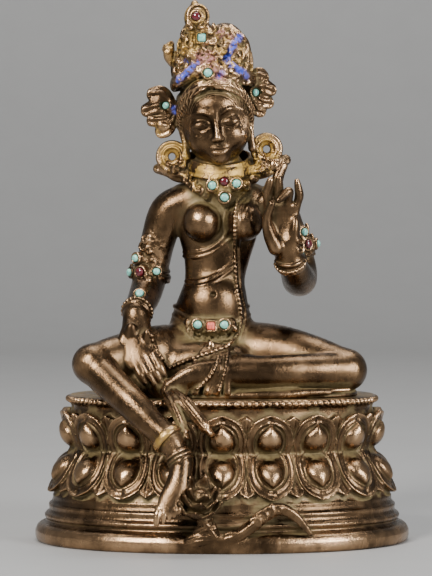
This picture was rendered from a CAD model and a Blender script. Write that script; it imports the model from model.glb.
"""A small cast copper-alloy Tara on a double-lotus base, crowned and set with cabochon stones.

Lengths in the sculpting code are millimetres, in the frame of the part: +Z up, the viewer at -Y. Finished
meshes are in metres. The castings are sculpted as blocks of clay, each a grid of signed distances.
"""
import math
from functools import partialmethod

import bmesh
import bpy
import numpy as np
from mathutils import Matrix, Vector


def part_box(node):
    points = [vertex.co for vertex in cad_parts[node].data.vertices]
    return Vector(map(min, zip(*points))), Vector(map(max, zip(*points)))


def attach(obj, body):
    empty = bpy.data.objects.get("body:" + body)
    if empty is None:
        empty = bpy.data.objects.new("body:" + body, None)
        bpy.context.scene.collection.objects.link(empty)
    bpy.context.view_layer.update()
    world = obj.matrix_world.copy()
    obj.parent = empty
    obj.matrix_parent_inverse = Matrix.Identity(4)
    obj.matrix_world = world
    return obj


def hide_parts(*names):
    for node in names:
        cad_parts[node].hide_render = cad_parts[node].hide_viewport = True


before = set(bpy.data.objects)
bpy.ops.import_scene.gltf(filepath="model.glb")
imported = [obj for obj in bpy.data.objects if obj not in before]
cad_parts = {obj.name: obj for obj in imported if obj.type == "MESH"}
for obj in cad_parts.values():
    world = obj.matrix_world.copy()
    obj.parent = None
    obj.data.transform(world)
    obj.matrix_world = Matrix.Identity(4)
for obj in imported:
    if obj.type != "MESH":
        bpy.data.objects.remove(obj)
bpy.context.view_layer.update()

import openvdb as vdb
from mathutils import Euler, Vector

bl_info = {
    "name": "Seated Tara",
    "version": (1, 0, 0),
    "blender": (4, 5, 0),
    "location": "3D View > Sidebar > Tara",
    "description": "Builds a cast copper-alloy Tara on a double-lotus base, set with cabochon stones",
    "category": "Add Mesh",
}

MM = 0.001
MOST_FACES = 190_000

# How the photograph sees the part: the eye's place, the size of a pixel in the plane through the origin,
# the pixel that looks straight ahead, and the picture's width and height in pixels. The rays that look for
# the surface start this far in front of that plane, and are this long.
EYE = np.array([0.0, -900.0, 105.0])
PIXEL = 0.32
AHEAD = (222.0, 211.0)
PHOTO = (432, 576)
RAY_START = 62.0
RAY_LENGTH = 120.0

# The lotus base: its plan is a superellipse, and its heights run from the ground up
PLAN_HALF_WIDTH = 50.0
PLAN_HALF_DEPTH = 33.5
PLAN_EXPONENT = 2.2
WAIST_LEVEL = 29.7
UPPER_ROW_HEIGHT = 11.6
LOWER_ROW_HEIGHT = 13.2
BASE_HEIGHT = 46.4
WAIST_OFFSET = -2.6

# Heights and distances outside the plan of the core's mouldings
CORE_PROFILE = [
    (0.0, 8.9), (0.6, 9.5), (1.8, 9.8), (3.4, 9.8), (4.8, 9.2), (5.6, 8.2), (5.9, 7.0), (6.3, 6.3),
    (7.0, 6.2), (7.6, 6.7), (8.4, 6.8), (9.0, 6.3), (9.3, 5.6), (10.4, 5.2), (11.2, 5.5), (11.9, 5.4),
    (12.3, 4.6), (13.4, 4.2), (14.6, 4.2), (15.2, 3.7), (17.0, 3.2), (20.0, 2.4), (24.0, 0.4),
    (27.0, -1.6), (29.2, -2.8), (30.6, -2.8), (33.0, -2.2), (38.0, -1.5), (41.2, -1.6), (42.8, -1.8),
    (43.8, -1.6), (44.1, -1.0), (46.0, -0.9), (46.4, -1.3),
]
LIP_OFFSET = 9.4
FOOT_LOTUS = np.array([-7.4, -43.9, 16.2])

PEARLS_TO_A_PETAL = 7
PEARL_IN = 0.75

# The seat of the figure above the ground
SEAT = 46.7


# Clay: fields of signed distance


def smooth_min(a, b, blend):
    """The smaller of two distances, rounded where they meet over about the length blend."""
    if blend <= 0:
        return np.minimum(a, b)
    meet = np.maximum(blend - np.abs(a - b), 0)
    return np.minimum(a, b) - meet * meet / (4 * blend)


class Form:
    """A shape to add or cut: the box that holds it, and its distance at given x, y and z."""

    def __init__(self, low, high, field):
        self.low = np.asarray(low, float)
        self.high = np.asarray(high, float)
        self.field = field


class Clay:
    """A block of clay: the distance to its surface on a regular grid. foot is the height of its own zero."""

    FAR = 4.0

    def __init__(self, low, high, cell, foot=0.0):
        self.cell = cell
        self.foot = np.array([0.0, 0.0, foot])
        self.first = np.floor((np.array(low) + self.foot) / cell).astype(int)
        last = np.ceil((np.array(high) + self.foot) / cell).astype(int)
        self.distance = np.full(last - self.first + 1, self.FAR, np.float32)

    def window(self, low, high, margin):
        """The part of the grid that covers a box, as slices and as its x, y and z."""
        a = np.floor((np.asarray(low) - margin + self.foot) / self.cell).astype(int) - self.first
        b = np.ceil((np.asarray(high) + margin + self.foot) / self.cell).astype(int) + 1 - self.first
        a = np.clip(a, 0, self.distance.shape)
        b = np.clip(b, a, self.distance.shape)
        axes = [((np.arange(a[i], b[i]) + self.first[i]) * self.cell - self.foot[i]).astype(np.float32)
                for i in range(3)]
        return tuple(slice(a[i], b[i]) for i in range(3)), np.meshgrid(*axes, indexing="ij", sparse=True)

    def add(self, form, blend=0.0, sign=1):
        """Adds a form, rounded where it meets the rest. A sign of -1 cuts it out."""
        where, (x, y, z) = self.window(form.low, form.high, blend + 2 * self.cell)
        if self.distance[where].size:
            before = sign * self.distance[where]
            self.distance[where] = sign * smooth_min(before, form.field(x, y, z), blend)

    def cut(self, form, blend=0.0):
        self.add(form, blend, -1)

    def shared(self, other):
        """Where this block and another one on the same cell overlap, as the slices of each."""
        a = np.maximum(other.first, self.first)
        b = np.minimum(other.first + other.distance.shape, self.first + self.distance.shape)
        return [tuple(slice(a[i] - block.first[i], b[i] - block.first[i]) for i in range(3))
                for block in (self, other)]

    def join(self, other, blend):
        """Adds another block of clay."""
        here, there = self.shared(other)
        self.distance[here] = smooth_min(self.distance[here], other.distance[there], blend)

    def clear(self, other, gap):
        """Cuts another block of clay, grown by a gap, out of this one."""
        here, there = self.shared(other)
        self.distance[here] = np.maximum(self.distance[here], gap - other.distance[there])

    def add_mesh(self, points, faces, blend=0.0):
        """Adds a closed mesh of three-sided or four-sided faces, given in the clay's own millimetres."""
        points = np.asarray(points, np.float32) + self.foot.astype(np.float32)
        triangles = np.array([f for f in faces if len(f) == 3], np.uint32).reshape(-1, 3)
        quads = np.array([f for f in faces if len(f) == 4], np.uint32).reshape(-1, 4)
        band = 4 + blend / self.cell
        step = vdb.createLinearTransform(voxelSize=self.cell)
        grid = vdb.FloatGrid.createLevelSetFromPolygons(
            points, triangles=triangles, quads=quads, transform=step, halfWidth=band)
        low, high = (np.array(corner) for corner in grid.evalActiveVoxelBoundingBox())
        a = np.maximum(low, self.first)
        b = np.minimum(high + 1, self.first + self.distance.shape)
        block = np.empty(b - a, np.float32)
        grid.copyToArray(block, ijk=tuple(int(i) for i in a))
        block[block > (band - 0.01) * self.cell] = self.FAR
        where = tuple(slice(a[i] - self.first[i], b[i] - self.first[i]) for i in range(3))
        self.distance[where] = smooth_min(self.distance[where], block, blend)

    def sample(self, points):
        """The distance at points, by linear interpolation."""
        field = self.distance
        at = (np.asarray(points, float) + self.foot) / self.cell - self.first
        at = np.clip(at, 0, np.array(field.shape) - 1.001)
        i = at.astype(int)
        f = at - i
        total = 0.0
        for corner in np.ndindex(2, 2, 2):
            weight = np.prod(np.where(corner, f, 1 - f), axis=1)
            total = total + weight * field[i[:, 0] + corner[0], i[:, 1] + corner[1], i[:, 2] + corner[2]]
        return total

    def meet(self, starts, directions, reach, sink=0.0):
        """Where rays first come within -sink of the surface, or came nearest to it where they miss."""
        starts = np.atleast_2d(starts)
        directions = np.atleast_2d(directions) / np.linalg.norm(directions, axis=-1, keepdims=True)
        steps = np.arange(0, reach, self.cell / 2)
        points = starts[:, None] + directions[:, None] * steps[None, :, None]
        found = self.sample(points.reshape(-1, 3)).reshape(len(starts), -1)
        hit = found < -sink
        index = np.where(hit.any(axis=1), hit.argmax(axis=1), found.argmin(axis=1))
        return points[np.arange(len(starts)), index]

    def seen(self, pixels, sink=0.0):
        """The surface points that the photograph shows at these pixels."""
        pixels = np.atleast_2d(pixels).astype(float)
        aim = np.stack([(pixels[:, 0] - AHEAD[0]) * PIXEL, np.full(len(pixels), -EYE[1]),
                        (AHEAD[1] - pixels[:, 1]) * PIXEL], axis=1)
        eye = EYE - self.foot
        near = eye + aim * ((-EYE[1] - RAY_START) / -EYE[1])
        return self.meet(near, aim, RAY_LENGTH, sink)

    def surface(self):
        """The surface as points in the part's own millimetres, and its faces."""
        band = 3 * self.cell
        grid = vdb.FloatGrid(band)
        grid.copyFromArray(np.clip(self.distance, -band, band), ijk=tuple(int(i) for i in self.first))
        points, quads = grid.convertToQuads(isovalue=0)
        return points * self.cell, quads


def spin(turn):
    """The rotation matrix of three turns in radians, about X, then Y, then Z. A matrix stays as it is."""
    return np.array(turn) if np.ndim(turn) == 2 else np.array(Euler(turn).to_matrix())


def egg(centre, radii, turn=(0, 0, 0), relief=None):
    """An ellipsoid. relief gives a height above it from the direction's x, y and z in its own frame."""
    centre = np.asarray(centre, float)
    radii = np.asarray(np.broadcast_to(radii, 3), float)
    turned = spin(turn)
    back = turned.T
    reach = np.sqrt((turned ** 2) @ (radii ** 2)) + (0.6 if relief else 0)

    def field(x, y, z):
        q = [back[i, 0] * (x - centre[0]) + back[i, 1] * (y - centre[1]) + back[i, 2] * (z - centre[2])
             for i in range(3)]
        share = [q[i] / radii[i] for i in range(3)]
        outer = np.sqrt(share[0] ** 2 + share[1] ** 2 + share[2] ** 2) + 1e-6
        slope = np.sqrt(sum((share[i] / radii[i]) ** 2 for i in range(3))) + 1e-6
        distance = outer * (outer - 1) / slope
        if relief:
            distance = distance - relief(share[0] / outer, share[1] / outer, share[2] / outer)
        return distance

    return Form(centre - reach, centre + reach, field)


def along(points, per_span=6):
    """A smooth path through points whose further columns, such as sizes, are smoothed with it."""
    points = np.array([p if len(p) != 4 else [*p, p[3]] for p in points], float)
    padded = np.vstack([2 * points[0] - points[1], points, 2 * points[-1] - points[-2]])
    out = []
    for a, b, c, d in zip(padded, padded[1:], padded[2:], padded[3:]):
        for t in np.arange(per_span) / per_span:
            out.append(0.5 * (2 * b + (c - a) * t + (2 * a - 5 * b + 4 * c - d) * t ** 2
                              + (3 * b - a - 3 * c + d) * t ** 3))
    return np.array([*out, points[-1]])


def strand(points, side=None, per_span=6, relief=None):
    """A limb, fold or cord with an oval section on a smooth path of [x, y, z, wide, thick] points.

    side is the direction in which it is wide. relief gives a height from the share of its length and the
    turn round it."""
    path = along(points, per_span)
    places, sizes = path[:, :3], np.maximum(path[:, 3:5], 0.05)
    ahead = np.gradient(places, axis=0)
    ahead /= np.linalg.norm(ahead, axis=1, keepdims=True)
    across = np.empty_like(places)
    carried = np.eye(3)[np.abs(ahead[0]).argmin()]
    for i, way in enumerate(ahead):
        if side is not None:
            carried = np.asarray(side, float) + (0.003, 0.005, 0.008)
        carried = carried - way * (carried @ way)
        carried = across[i] = carried / np.linalg.norm(carried)
    outward = np.cross(ahead, across)
    spread = sizes.max() + (0.5 if relief else 0)

    def field(x, y, z):
        whole = np.full(np.broadcast_shapes(x.shape, y.shape, z.shape), Clay.FAR, np.float32)
        axes = [x.ravel(), y.ravel(), z.ravel()]
        for i in range(len(places) - 1):
            a, b = places[i], places[i + 1]
            room = sizes[i:i + 2].max() + spread * 0.25 + 2.5
            part = tuple(slice(*np.searchsorted(axis, [min(p, q) - room, max(p, q) + room]))
                         for axis, p, q in zip(axes, a, b))
            if any(s.start >= s.stop for s in part):
                continue
            q = [x[part[0]] - a[0], y[:, part[1]] - a[1], z[:, :, part[2]] - a[2]]
            step = b - a
            t = np.clip((q[0] * step[0] + q[1] * step[1] + q[2] * step[2]) / (step @ step), 0, 1)
            q = [q[k] - t * step[k] for k in range(3)]
            turned = [across[i], outward[i], ahead[i]]
            change = [across[i + 1] - across[i], outward[i + 1] - outward[i], ahead[i + 1] - ahead[i]]
            u, v, w = (sum(q[k] * (turned[j][k] + t * change[j][k]) for k in range(3)) for j in range(3))
            wide = sizes[i, 0] + t * (sizes[i + 1, 0] - sizes[i, 0])
            thick = sizes[i, 1] + t * (sizes[i + 1, 1] - sizes[i, 1])
            end = np.minimum(wide, thick)
            outer = np.sqrt((u / wide) ** 2 + (v / thick) ** 2 + (w / end) ** 2) + 1e-6
            slope = np.sqrt((u / wide ** 2) ** 2 + (v / thick ** 2) ** 2 + (w / end ** 2) ** 2) + 1e-6
            distance = outer * (outer - 1) / slope
            if relief:
                distance = distance - relief((i + t) / (len(places) - 1), np.arctan2(v, u))
            whole[part] = np.minimum(whole[part], distance)
        return whole

    return Form(places.min(axis=0) - spread, places.max(axis=0) + spread, field)


def ring(centre, axis, radius, thick, wide=None):
    """A closed hoop whose hole points along axis, oval in section where wide is given."""
    centre = np.asarray(centre, float)
    axis = np.asarray(axis, float) / np.linalg.norm(axis)
    wide = wide or thick
    spread = np.sqrt(np.maximum(1 - axis ** 2, 0)) * (radius + thick) + np.abs(axis) * wide + 0.1

    def field(x, y, z):
        q = [x - centre[0], y - centre[1], z - centre[2]]
        height = q[0] * axis[0] + q[1] * axis[1] + q[2] * axis[2]
        away = np.sqrt(np.maximum(q[0] ** 2 + q[1] ** 2 + q[2] ** 2 - height ** 2, 0)) - radius
        return (np.sqrt((away / thick) ** 2 + (height / wide) ** 2) - 1) * min(thick, wide)

    return Form(centre - spread, centre + spread, field)


def drum(centre, axis, radius, below, above, sides=0):
    """A short round or square post about an axis, from below its centre to above it."""
    centre = np.asarray(centre, float)
    axis = np.asarray(axis, float) / np.linalg.norm(axis)
    first = np.cross(axis, [0, 0, 1]) if abs(axis[2]) < 0.9 else np.array([1.0, 0, 0])
    first /= np.linalg.norm(first)
    second = np.cross(axis, first)
    spread = radius * 1.5 + max(below, above)

    def field(x, y, z):
        q = [x - centre[0], y - centre[1], z - centre[2]]
        height, u, v = (q[0] * n[0] + q[1] * n[1] + q[2] * n[2] for n in (axis, first, second))
        away = (np.maximum(np.abs(u), np.abs(v)) if sides == 4 else np.sqrt(u ** 2 + v ** 2)) - radius
        return np.maximum(away, np.maximum(height - above, -height - below))

    return Form(centre - spread, centre + spread, field)


def slab(half_sizes, centre, turn, radius=0.6, outline=None):
    """A rounded plate: half_sizes are half its width, thickness and height. outline narrows its half width
    by the share of its height, from 0 at the foot to 1 at the top."""
    centre = np.asarray(centre, float)
    back = spin(turn).T
    half = np.asarray(half_sizes, float)
    reach = np.abs(spin(turn)) @ half + 0.2

    def field(x, y, z):
        away = [x - centre[0], y - centre[1], z - centre[2]]
        u, n, h = (back[i, 0] * away[0] + back[i, 1] * away[1] + back[i, 2] * away[2] for i in range(3))
        share = np.clip(h / (2 * half[2]) + 0.5, 0, 1)
        wide = half[0] * (outline(share) if outline else 1.0)
        gaps = [np.abs(u) - wide + radius, np.abs(n) - half[1] + radius, np.abs(h) - half[2] + radius]
        outside = np.sqrt(sum(np.maximum(g, 0) ** 2 for g in gaps))
        return outside + np.minimum(np.maximum(np.maximum(gaps[0], gaps[1]), gaps[2]), 0) - radius

    return Form(centre - reach, centre + reach, field)


# Geometry Nodes: what repeats round the plan or along a string


def socket(tree, name, kind, default=None, way="INPUT"):
    item = tree.interface.new_socket(name, in_out=way, socket_type="NodeSocket" + kind)
    if default is not None:
        item.default_value = default


def node_group(name, make):
    return bpy.data.node_groups.get(name) or make()


def growing_tree(name, sockets, kinds):
    """A tree of geometry nodes that takes these sockets and gives one geometry, and its nodes by name."""
    tree = bpy.data.node_groups.new(name, "GeometryNodeTree")
    for row in sockets:
        socket(tree, *row)
    socket(tree, "Result", "Geometry", way="OUTPUT")
    return tree, {label: tree.nodes.new(kind) for label, kind in kinds.items()}


def wire(tree, nodes, links):
    """Links nodes by (from, output, to, input). An output or input is given by its name or number."""
    for source, output, target, entry in links:
        tree.links.new(nodes[source].outputs[output], nodes[target].inputs[entry])


def row_tree():
    """Copies a piece along X, then bends the row round a plan: X along it, -Y out of it, Z up."""
    tree, nodes = growing_tree(
        "Row round the plan",
        [("Piece", "Geometry"), ("Count", "Int", 18), ("Pitch", "Float", 0.015), ("Shift", "Float", 0.0),
         ("Plan", "Object"), ("Material", "Material")],
        {"given": "NodeGroupInput", "line": "GeometryNodeMeshLine", "start": "ShaderNodeCombineXYZ",
         "step": "ShaderNodeCombineXYZ", "copies": "GeometryNodeInstanceOnPoints",
         "real": "GeometryNodeRealizeInstances", "place": "GeometryNodeInputPosition",
         "parts": "ShaderNodeSeparateXYZ", "plan": "GeometryNodeObjectInfo",
         "length": "GeometryNodeCurveLength", "wrap": "ShaderNodeMath", "found": "GeometryNodeSampleCurve",
         "outward": "ShaderNodeVectorMath", "push": "ShaderNodeVectorMath", "reach": "ShaderNodeVectorMath",
         "lift": "ShaderNodeCombineXYZ", "bent": "ShaderNodeVectorMath", "bend": "GeometryNodeSetPosition",
         "paint": "GeometryNodeSetMaterial", "out": "NodeGroupOutput"})
    nodes["line"].mode = "OFFSET"
    nodes["wrap"].operation = "FLOORED_MODULO"
    nodes["found"].mode = "LENGTH"
    nodes["outward"].operation = "CROSS_PRODUCT"
    nodes["outward"].inputs[1].default_value = (0, 0, -1)
    nodes["push"].operation = "SCALE"
    wire(tree, nodes, [
        ("given", "Shift", "start", "X"), ("given", "Pitch", "step", "X"),
        ("given", "Count", "line", "Count"), ("start", 0, "line", "Start Location"),
        ("step", 0, "line", "Offset"), ("line", 0, "copies", "Points"),
        ("given", "Piece", "copies", "Instance"), ("copies", 0, "real", 0),
        ("given", "Plan", "plan", "Object"), ("plan", "Geometry", "length", 0),
        ("plan", "Geometry", "found", "Curves"), ("place", 0, "parts", 0), ("parts", "X", "wrap", 0),
        ("length", 0, "wrap", 1), ("wrap", 0, "found", "Length"), ("found", "Tangent", "outward", 0),
        ("outward", 0, "push", 0), ("parts", "Y", "push", "Scale"), ("parts", "Z", "lift", "Z"),
        ("found", "Position", "reach", 0), ("push", 0, "reach", 1), ("reach", 0, "bent", 0),
        ("lift", 0, "bent", 1), ("real", 0, "bend", "Geometry"), ("bent", 0, "bend", "Position"),
        ("bend", 0, "paint", "Geometry"), ("given", "Material", "paint", "Material"),
        ("paint", 0, "out", 0)])
    return tree


def bead_tree():
    """Sets round beads at equal steps along the lines of a mesh."""
    tree, nodes = growing_tree(
        "Beads on a string",
        [("String", "Geometry"), ("Step", "Float", 0.001), ("Radius", "Float", 0.0005),
         ("Material", "Material")],
        {"given": "NodeGroupInput", "curve": "GeometryNodeMeshToCurve",
         "spaced": "GeometryNodeResampleCurve", "bead": "GeometryNodeMeshUVSphere",
         "copies": "GeometryNodeInstanceOnPoints", "real": "GeometryNodeRealizeInstances",
         "paint": "GeometryNodeSetMaterial", "out": "NodeGroupOutput"})
    nodes["spaced"].mode = "LENGTH"
    nodes["bead"].inputs["Segments"].default_value = 8
    nodes["bead"].inputs["Rings"].default_value = 6
    wire(tree, nodes, [
        ("given", "String", "curve", 0), ("curve", 0, "spaced", "Curve"),
        ("given", "Step", "spaced", "Length"), ("given", "Radius", "bead", "Radius"),
        ("spaced", 0, "copies", "Points"),
        ("bead", "Mesh", "copies", "Instance"), ("copies", 0, "real", 0), ("real", 0, "paint", "Geometry"),
        ("given", "Material", "paint", "Material"), ("paint", 0, "out", 0)])
    return tree


def grown(piece, tree, **values):
    """The points (mm) and faces of a scratch object after a tree of nodes. The object is then removed."""
    modifier = piece.modifiers.new("Row", "NODES")
    modifier.node_group = tree
    for item in tree.interface.items_tree:
        if item.in_out == "INPUT" and item.name in values:
            modifier[item.identifier] = values[item.name]
    bpy.context.view_layer.update()
    ready = piece.evaluated_get(bpy.context.evaluated_depsgraph_get())
    mesh = bpy.data.meshes.new_from_object(ready)
    points = np.empty(len(mesh.vertices) * 3)
    mesh.vertices.foreach_get("co", points)
    faces = [tuple(p.vertices) for p in mesh.polygons]
    bpy.data.meshes.remove(mesh)
    bpy.data.objects.remove(piece)
    return points.reshape(-1, 3) / MM, faces


def scratch_mesh(name, points, faces=(), edges=()):
    """An object for Geometry Nodes to start from, given in millimetres."""
    mesh = bpy.data.meshes.new(name)
    mesh.from_pydata([tuple(float(c) * MM for c in p) for p in points], list(edges), list(faces))
    piece = bpy.data.objects.new(name, mesh)
    bpy.context.scene.collection.objects.link(piece)
    return piece


def string_beads(clay, strings, radius, gap=1.0, blend=0.1):
    """Adds beads along paths of points, each touching the next where gap is 1."""
    points, edges = [], []
    for path in strings:
        first = len(points)
        points.extend(path)
        edges.extend((i, i + 1) for i in range(first, len(points) - 1))
    piece = scratch_mesh("bead_strings", points, edges=edges)
    beads = grown(piece, node_group("Beads on a string", bead_tree), Step=2 * radius * gap * MM,
                  Radius=radius * MM, Material=material_named("Bronze of the figure"))
    clay.add_mesh(*beads, blend=blend)


# The lotus base


def plan_points(count=720):
    """The plan's outline from the middle of the front towards +X, closed by its first point."""
    turn = np.linspace(0, 2 * np.pi, count + 1)
    power = 2 / PLAN_EXPONENT
    x = PLAN_HALF_WIDTH * np.sign(np.sin(turn)) * np.abs(np.sin(turn)) ** power
    y = -PLAN_HALF_DEPTH * np.sign(np.cos(turn)) * np.abs(np.cos(turn)) ** power
    return np.stack([x, y, np.zeros_like(x)], axis=1)


def plan_length():
    return np.linalg.norm(np.diff(plan_points(), axis=0), axis=1).sum()


def plan_curve():
    curve = bpy.data.curves.new("plan", "CURVE")
    curve.dimensions = "3D"
    line = curve.splines.new("POLY")
    points = plan_points()[:-1] * MM
    line.points.add(len(points) - 1)
    for place, point in zip(points, line.points):
        point.co = (*place, 1.0)
    line.use_cyclic_u = True
    piece = bpy.data.objects.new("plan", curve)
    bpy.context.scene.collection.objects.link(piece)
    return piece


def skin(rings, around, step=1):
    """The faces between rings of points and a last point at each end. A step of -1 turns them over."""
    end, top = rings * around, (rings - 1) * around
    faces = []
    for row in range(0, top, around):
        for i in range(around):
            j = (i + 1) % around
            faces.append((row + i, row + j, row + around + j, row + around + i)[::step])
    for i in range(around):
        j = (i + 1) % around
        faces += [(end, j, i)[::step], (end + 1, top + i, top + j)[::step]]
    return faces


def walls(profile, count=360):
    """A closed skin round the plan through (height, distance outside the plan) points."""
    outline = plan_points(count)[:-1]
    slopes = [np.sign(outline[:, i]) * np.abs(outline[:, i]) ** (PLAN_EXPONENT - 1) / half ** PLAN_EXPONENT
              for i, half in enumerate((PLAN_HALF_WIDTH, PLAN_HALF_DEPTH))]
    normal = np.stack([*slopes, np.zeros(count)], axis=1)
    normal /= np.linalg.norm(normal, axis=1, keepdims=True)
    points = np.vstack([outline + normal * out + [0, 0, z] for z, out in profile]
                       + [[0, 0, profile[0][0]], [0, 0, profile[-1][0]]])
    return points, skin(len(profile), count)


# A petal's relief: each ring's share of the way out from its centre, and its height above the petal's
# surface. The outer rings are the margin, and the inner ones the dish.
PETAL_RINGS = [
    (1.0, -2.6), (1.0, -0.6), (0.995, 0.1), (0.975, 0.3), (0.95, 0.18), (0.925, -0.15), (0.87, -0.3),
    (0.8, -0.3), (0.765, -0.1), (0.742, 0.16), (0.72, 0.2), (0.7, -0.1), (0.68, -0.6), (0.65, -0.8),
]
PETAL_CENTRE = 0.3
PETAL_SIDES = 48
# How far outside the waist a petal starts
PETAL_LIFT = 0.9


def petal_piece(height, reach, half_width, boss, boss_height, up):
    """One petal flat against the wall: X along the plan, -Y out of it, Z up, from the waist to its tip.

    Its margin runs down to the waist at both sides, and its tip is split."""
    centre = PETAL_CENTRE * height
    rings = [(share, rise, False) for share, rise in PETAL_RINGS]
    for turn in np.linspace(0.1, 0.94, 7) * np.pi / 2:
        rings.append((boss / half_width * math.cos(turn), -0.7 + 3.3 * math.sin(turn), True))
    points = []
    for share, rise, on_boss in rings:
        for i in range(PETAL_SIDES):
            turn = i / PETAL_SIDES * 2 * np.pi
            c, s = math.cos(turn), math.sin(turn)
            away_from_tip = abs(math.remainder(turn - np.pi / 2, 2 * np.pi))
            if on_boss:
                point = 0.25 * math.exp(-(away_from_tip / 0.35) ** 2)
                h = boss_height + share * half_width * (s * 0.95 + point)
                x = share * half_width * c * (1 - 0.08 * s)
            else:
                tip = 1 + 0.07 * math.exp(-(away_from_tip / 0.22) ** 2)
                power = 0.84 if s > 0 else 0.5
                x = share * half_width * math.copysign(abs(c) ** power, c)
                room = (height - centre) * tip if s > 0 else centre + 2.6
                h = centre + share * room * math.copysign(abs(s) ** 0.9, s)
            at_tip = 0.7 < share < 0.98 and not on_boss
            split = 0.6 * math.exp(-(away_from_tip / 0.075) ** 2) if at_tip else 0.0
            level = WAIST_OFFSET + PETAL_LIFT
            level += (reach - WAIST_OFFSET - PETAL_LIFT) * max(h, 0) ** 0.9 / height ** 0.9
            level += 0.9 * min(h, 0)
            points.append((x, -(level + rise - split), up * h))
    level = WAIST_OFFSET + PETAL_LIFT + (reach - WAIST_OFFSET - PETAL_LIFT) * (boss_height / height) ** 0.9
    points += [(0, -(WAIST_OFFSET - 2.5), up * PETAL_CENTRE * height),
               (0, -(level + 2.65), up * boss_height)]
    return points, skin(len(rings), PETAL_SIDES, up)


def leaf_piece(height, low_out, high_out, half_width, up):
    """The ribbed tip of the leaf that shows between two petals."""
    points, faces = [], []
    rows, columns = 10, 17
    for row in range(rows):
        h = row / (rows - 1)
        wide = half_width * (0.25 + 0.75 * min(h / 0.8, 1) ** 1.3)
        wide *= 1 - (max(0, h - 0.8) / 0.2) ** 1.6 * 0.92
        for column in range(columns):
            share = column / (columns - 1) * 2 - 1
            rib = 0.28 * math.cos(share * 4 * np.pi) + 0.7 * (1 - share * share)
            out = low_out + (high_out - low_out) * h ** 1.4 + rib
            points.append((share * wide, -out, up * h * height))
    back = len(points)
    points += [(x, 3.0, z) for x, _, z in points]
    for row in range(rows - 1):
        for column in range(columns - 1):
            a = row * columns + column
            b = a + columns
            faces += [(a, a + 1, b + 1, b)[::up], (back + a, back + b, back + b + 1, back + a + 1)[::up]]
    border = [*range(columns), *[r * columns + columns - 1 for r in range(1, rows)],
              *[(rows - 1) * columns + c for c in range(columns - 2, -1, -1)],
              *[r * columns for r in range(rows - 2, 0, -1)]]
    for a, b in zip(border, border[1:] + border[:1]):
        faces.append((b, a, back + a, back + b)[::up])
    return points, faces


def sculpt_base(sizes):
    """The clay of the lotus base: core, two rows of petals with leaf tips between, pearls and foot lotus."""
    clay = Clay((-61, -53, -0.6), (61, 45, 47.4), cell_size())
    clay.add_mesh(*walls(CORE_PROFILE))
    plan = plan_curve()
    pitch = plan_length() / sizes.petals
    rows = node_group("Row round the plan", row_tree)
    metal = material_named("Bronze of the base")

    def row(name, piece, count, step, shift, blend):
        copies = grown(scratch_mesh(name, *piece), rows, Count=count, Pitch=step * MM, Shift=shift * MM,
                       Plan=plan, Material=metal)
        clay.add_mesh(*copies, blend=blend)

    def lifted(piece, level):
        return [(x, y, z + level) for x, y, z in piece[0]], piece[1]

    half = pitch / 2
    for leaf in (leaf_piece(UPPER_ROW_HEIGHT, -2.4, 0.5, 3.2, 1), leaf_piece(13.0, -2.0, 4.9, 4.4, -1)):
        row("leaf_tips", lifted(leaf, WAIST_LEVEL), sizes.petals, pitch, half, 0.3)
    for petal in (petal_piece(UPPER_ROW_HEIGHT, sizes.upper_reach / MM, half * 0.97, 4.2, 4.2, 1),
                  petal_piece(LOWER_ROW_HEIGHT, sizes.lower_reach / MM, half * 0.96, 4.0, 5.4, -1)):
        row("petals", lifted(petal, WAIST_LEVEL), sizes.petals, pitch, 0.0, 0.25)
    count = sizes.petals * PEARLS_TO_A_PETAL
    pearl = lifted(pearl_piece(sizes.pearl / MM / 2), BASE_HEIGHT - 1.2)
    row("pearls", pearl, count, plan_length() / count, 0.0, 0.15)
    bpy.data.objects.remove(plan)
    clay.add(drum((0, 0, BASE_HEIGHT - 1.0), (0, 0, 1), 20, 1, 0.99))
    foot_lotus(clay)
    return clay


def pearl_piece(radius, around=10, up=6):
    """A pearl of the rim, set half into its edge."""
    points, faces = [], []
    for row in range(1, up):
        lean = row / up * np.pi
        for i in range(around):
            turn = i / around * 2 * np.pi
            points.append((radius * math.sin(lean) * math.cos(turn),
                           PEARL_IN + radius * math.sin(lean) * math.sin(turn), radius * math.cos(lean)))
    low, high = len(points), len(points) + 1
    points += [(0, PEARL_IN, -radius), (0, PEARL_IN, radius)]
    for row in range(0, (up - 2) * around, around):
        for i in range(around):
            j = (i + 1) % around
            faces.append((row + j, row + i, row + around + i, row + around + j))
    last = (up - 2) * around
    for i in range(around):
        j = (i + 1) % around
        faces += [(high, i, j), (low, last + j, last + i)]
    return points, faces


def front_of_lip(x):
    """How far forward the lip at the foot of the base stands at this X."""
    share = min(abs(x) / (PLAN_HALF_WIDTH + LIP_OFFSET), 1)
    return -(PLAN_HALF_DEPTH + LIP_OFFSET) * (1 - share ** PLAN_EXPONENT) ** (1 / PLAN_EXPONENT)


def flutes(depth, count, twist=0):
    """The relief of grooves along a strand. With a twist they turn with its length."""
    return lambda s, a: depth * np.cos(count * a + twist * s)


# The foot lotus's rings of petals: how many, radius, lift, half width and turn
LOTUS_RINGS = [(8, 6.6, -1.0, 3.1, 0.0), (7, 5.5, 2.0, 2.8, 0.4), (5, 3.8, 3.8, 2.2, 0.1)]
# A petal's path from the middle outwards: share of the radius, and rise
LOTUS_PETAL = ((0.3, -2.6), (0.85, -0.8), (1.15, 2.4))
# The stalk from the flower: distance along X, the X where the lip is met, distance in from the lip, height
# from the flower, and radius
STALK = [
    (2.6, 3, 0.6, -7.0, 2.0), (6.6, 7, 0.3, -11.6, 1.7), (12, 12, 0.2, -10.4, 1.8),
    (17, 17, 0.8, -7.2, 1.9), (21, 21, 1.6, -4.0, 2.0), (25.5, 25, 1.8, -2.6, 1.8),
    (30, 30, 1.2, -5.0, 1.5), (34.5, 34, 0.8, -10.2, 0.7),
]
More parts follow.
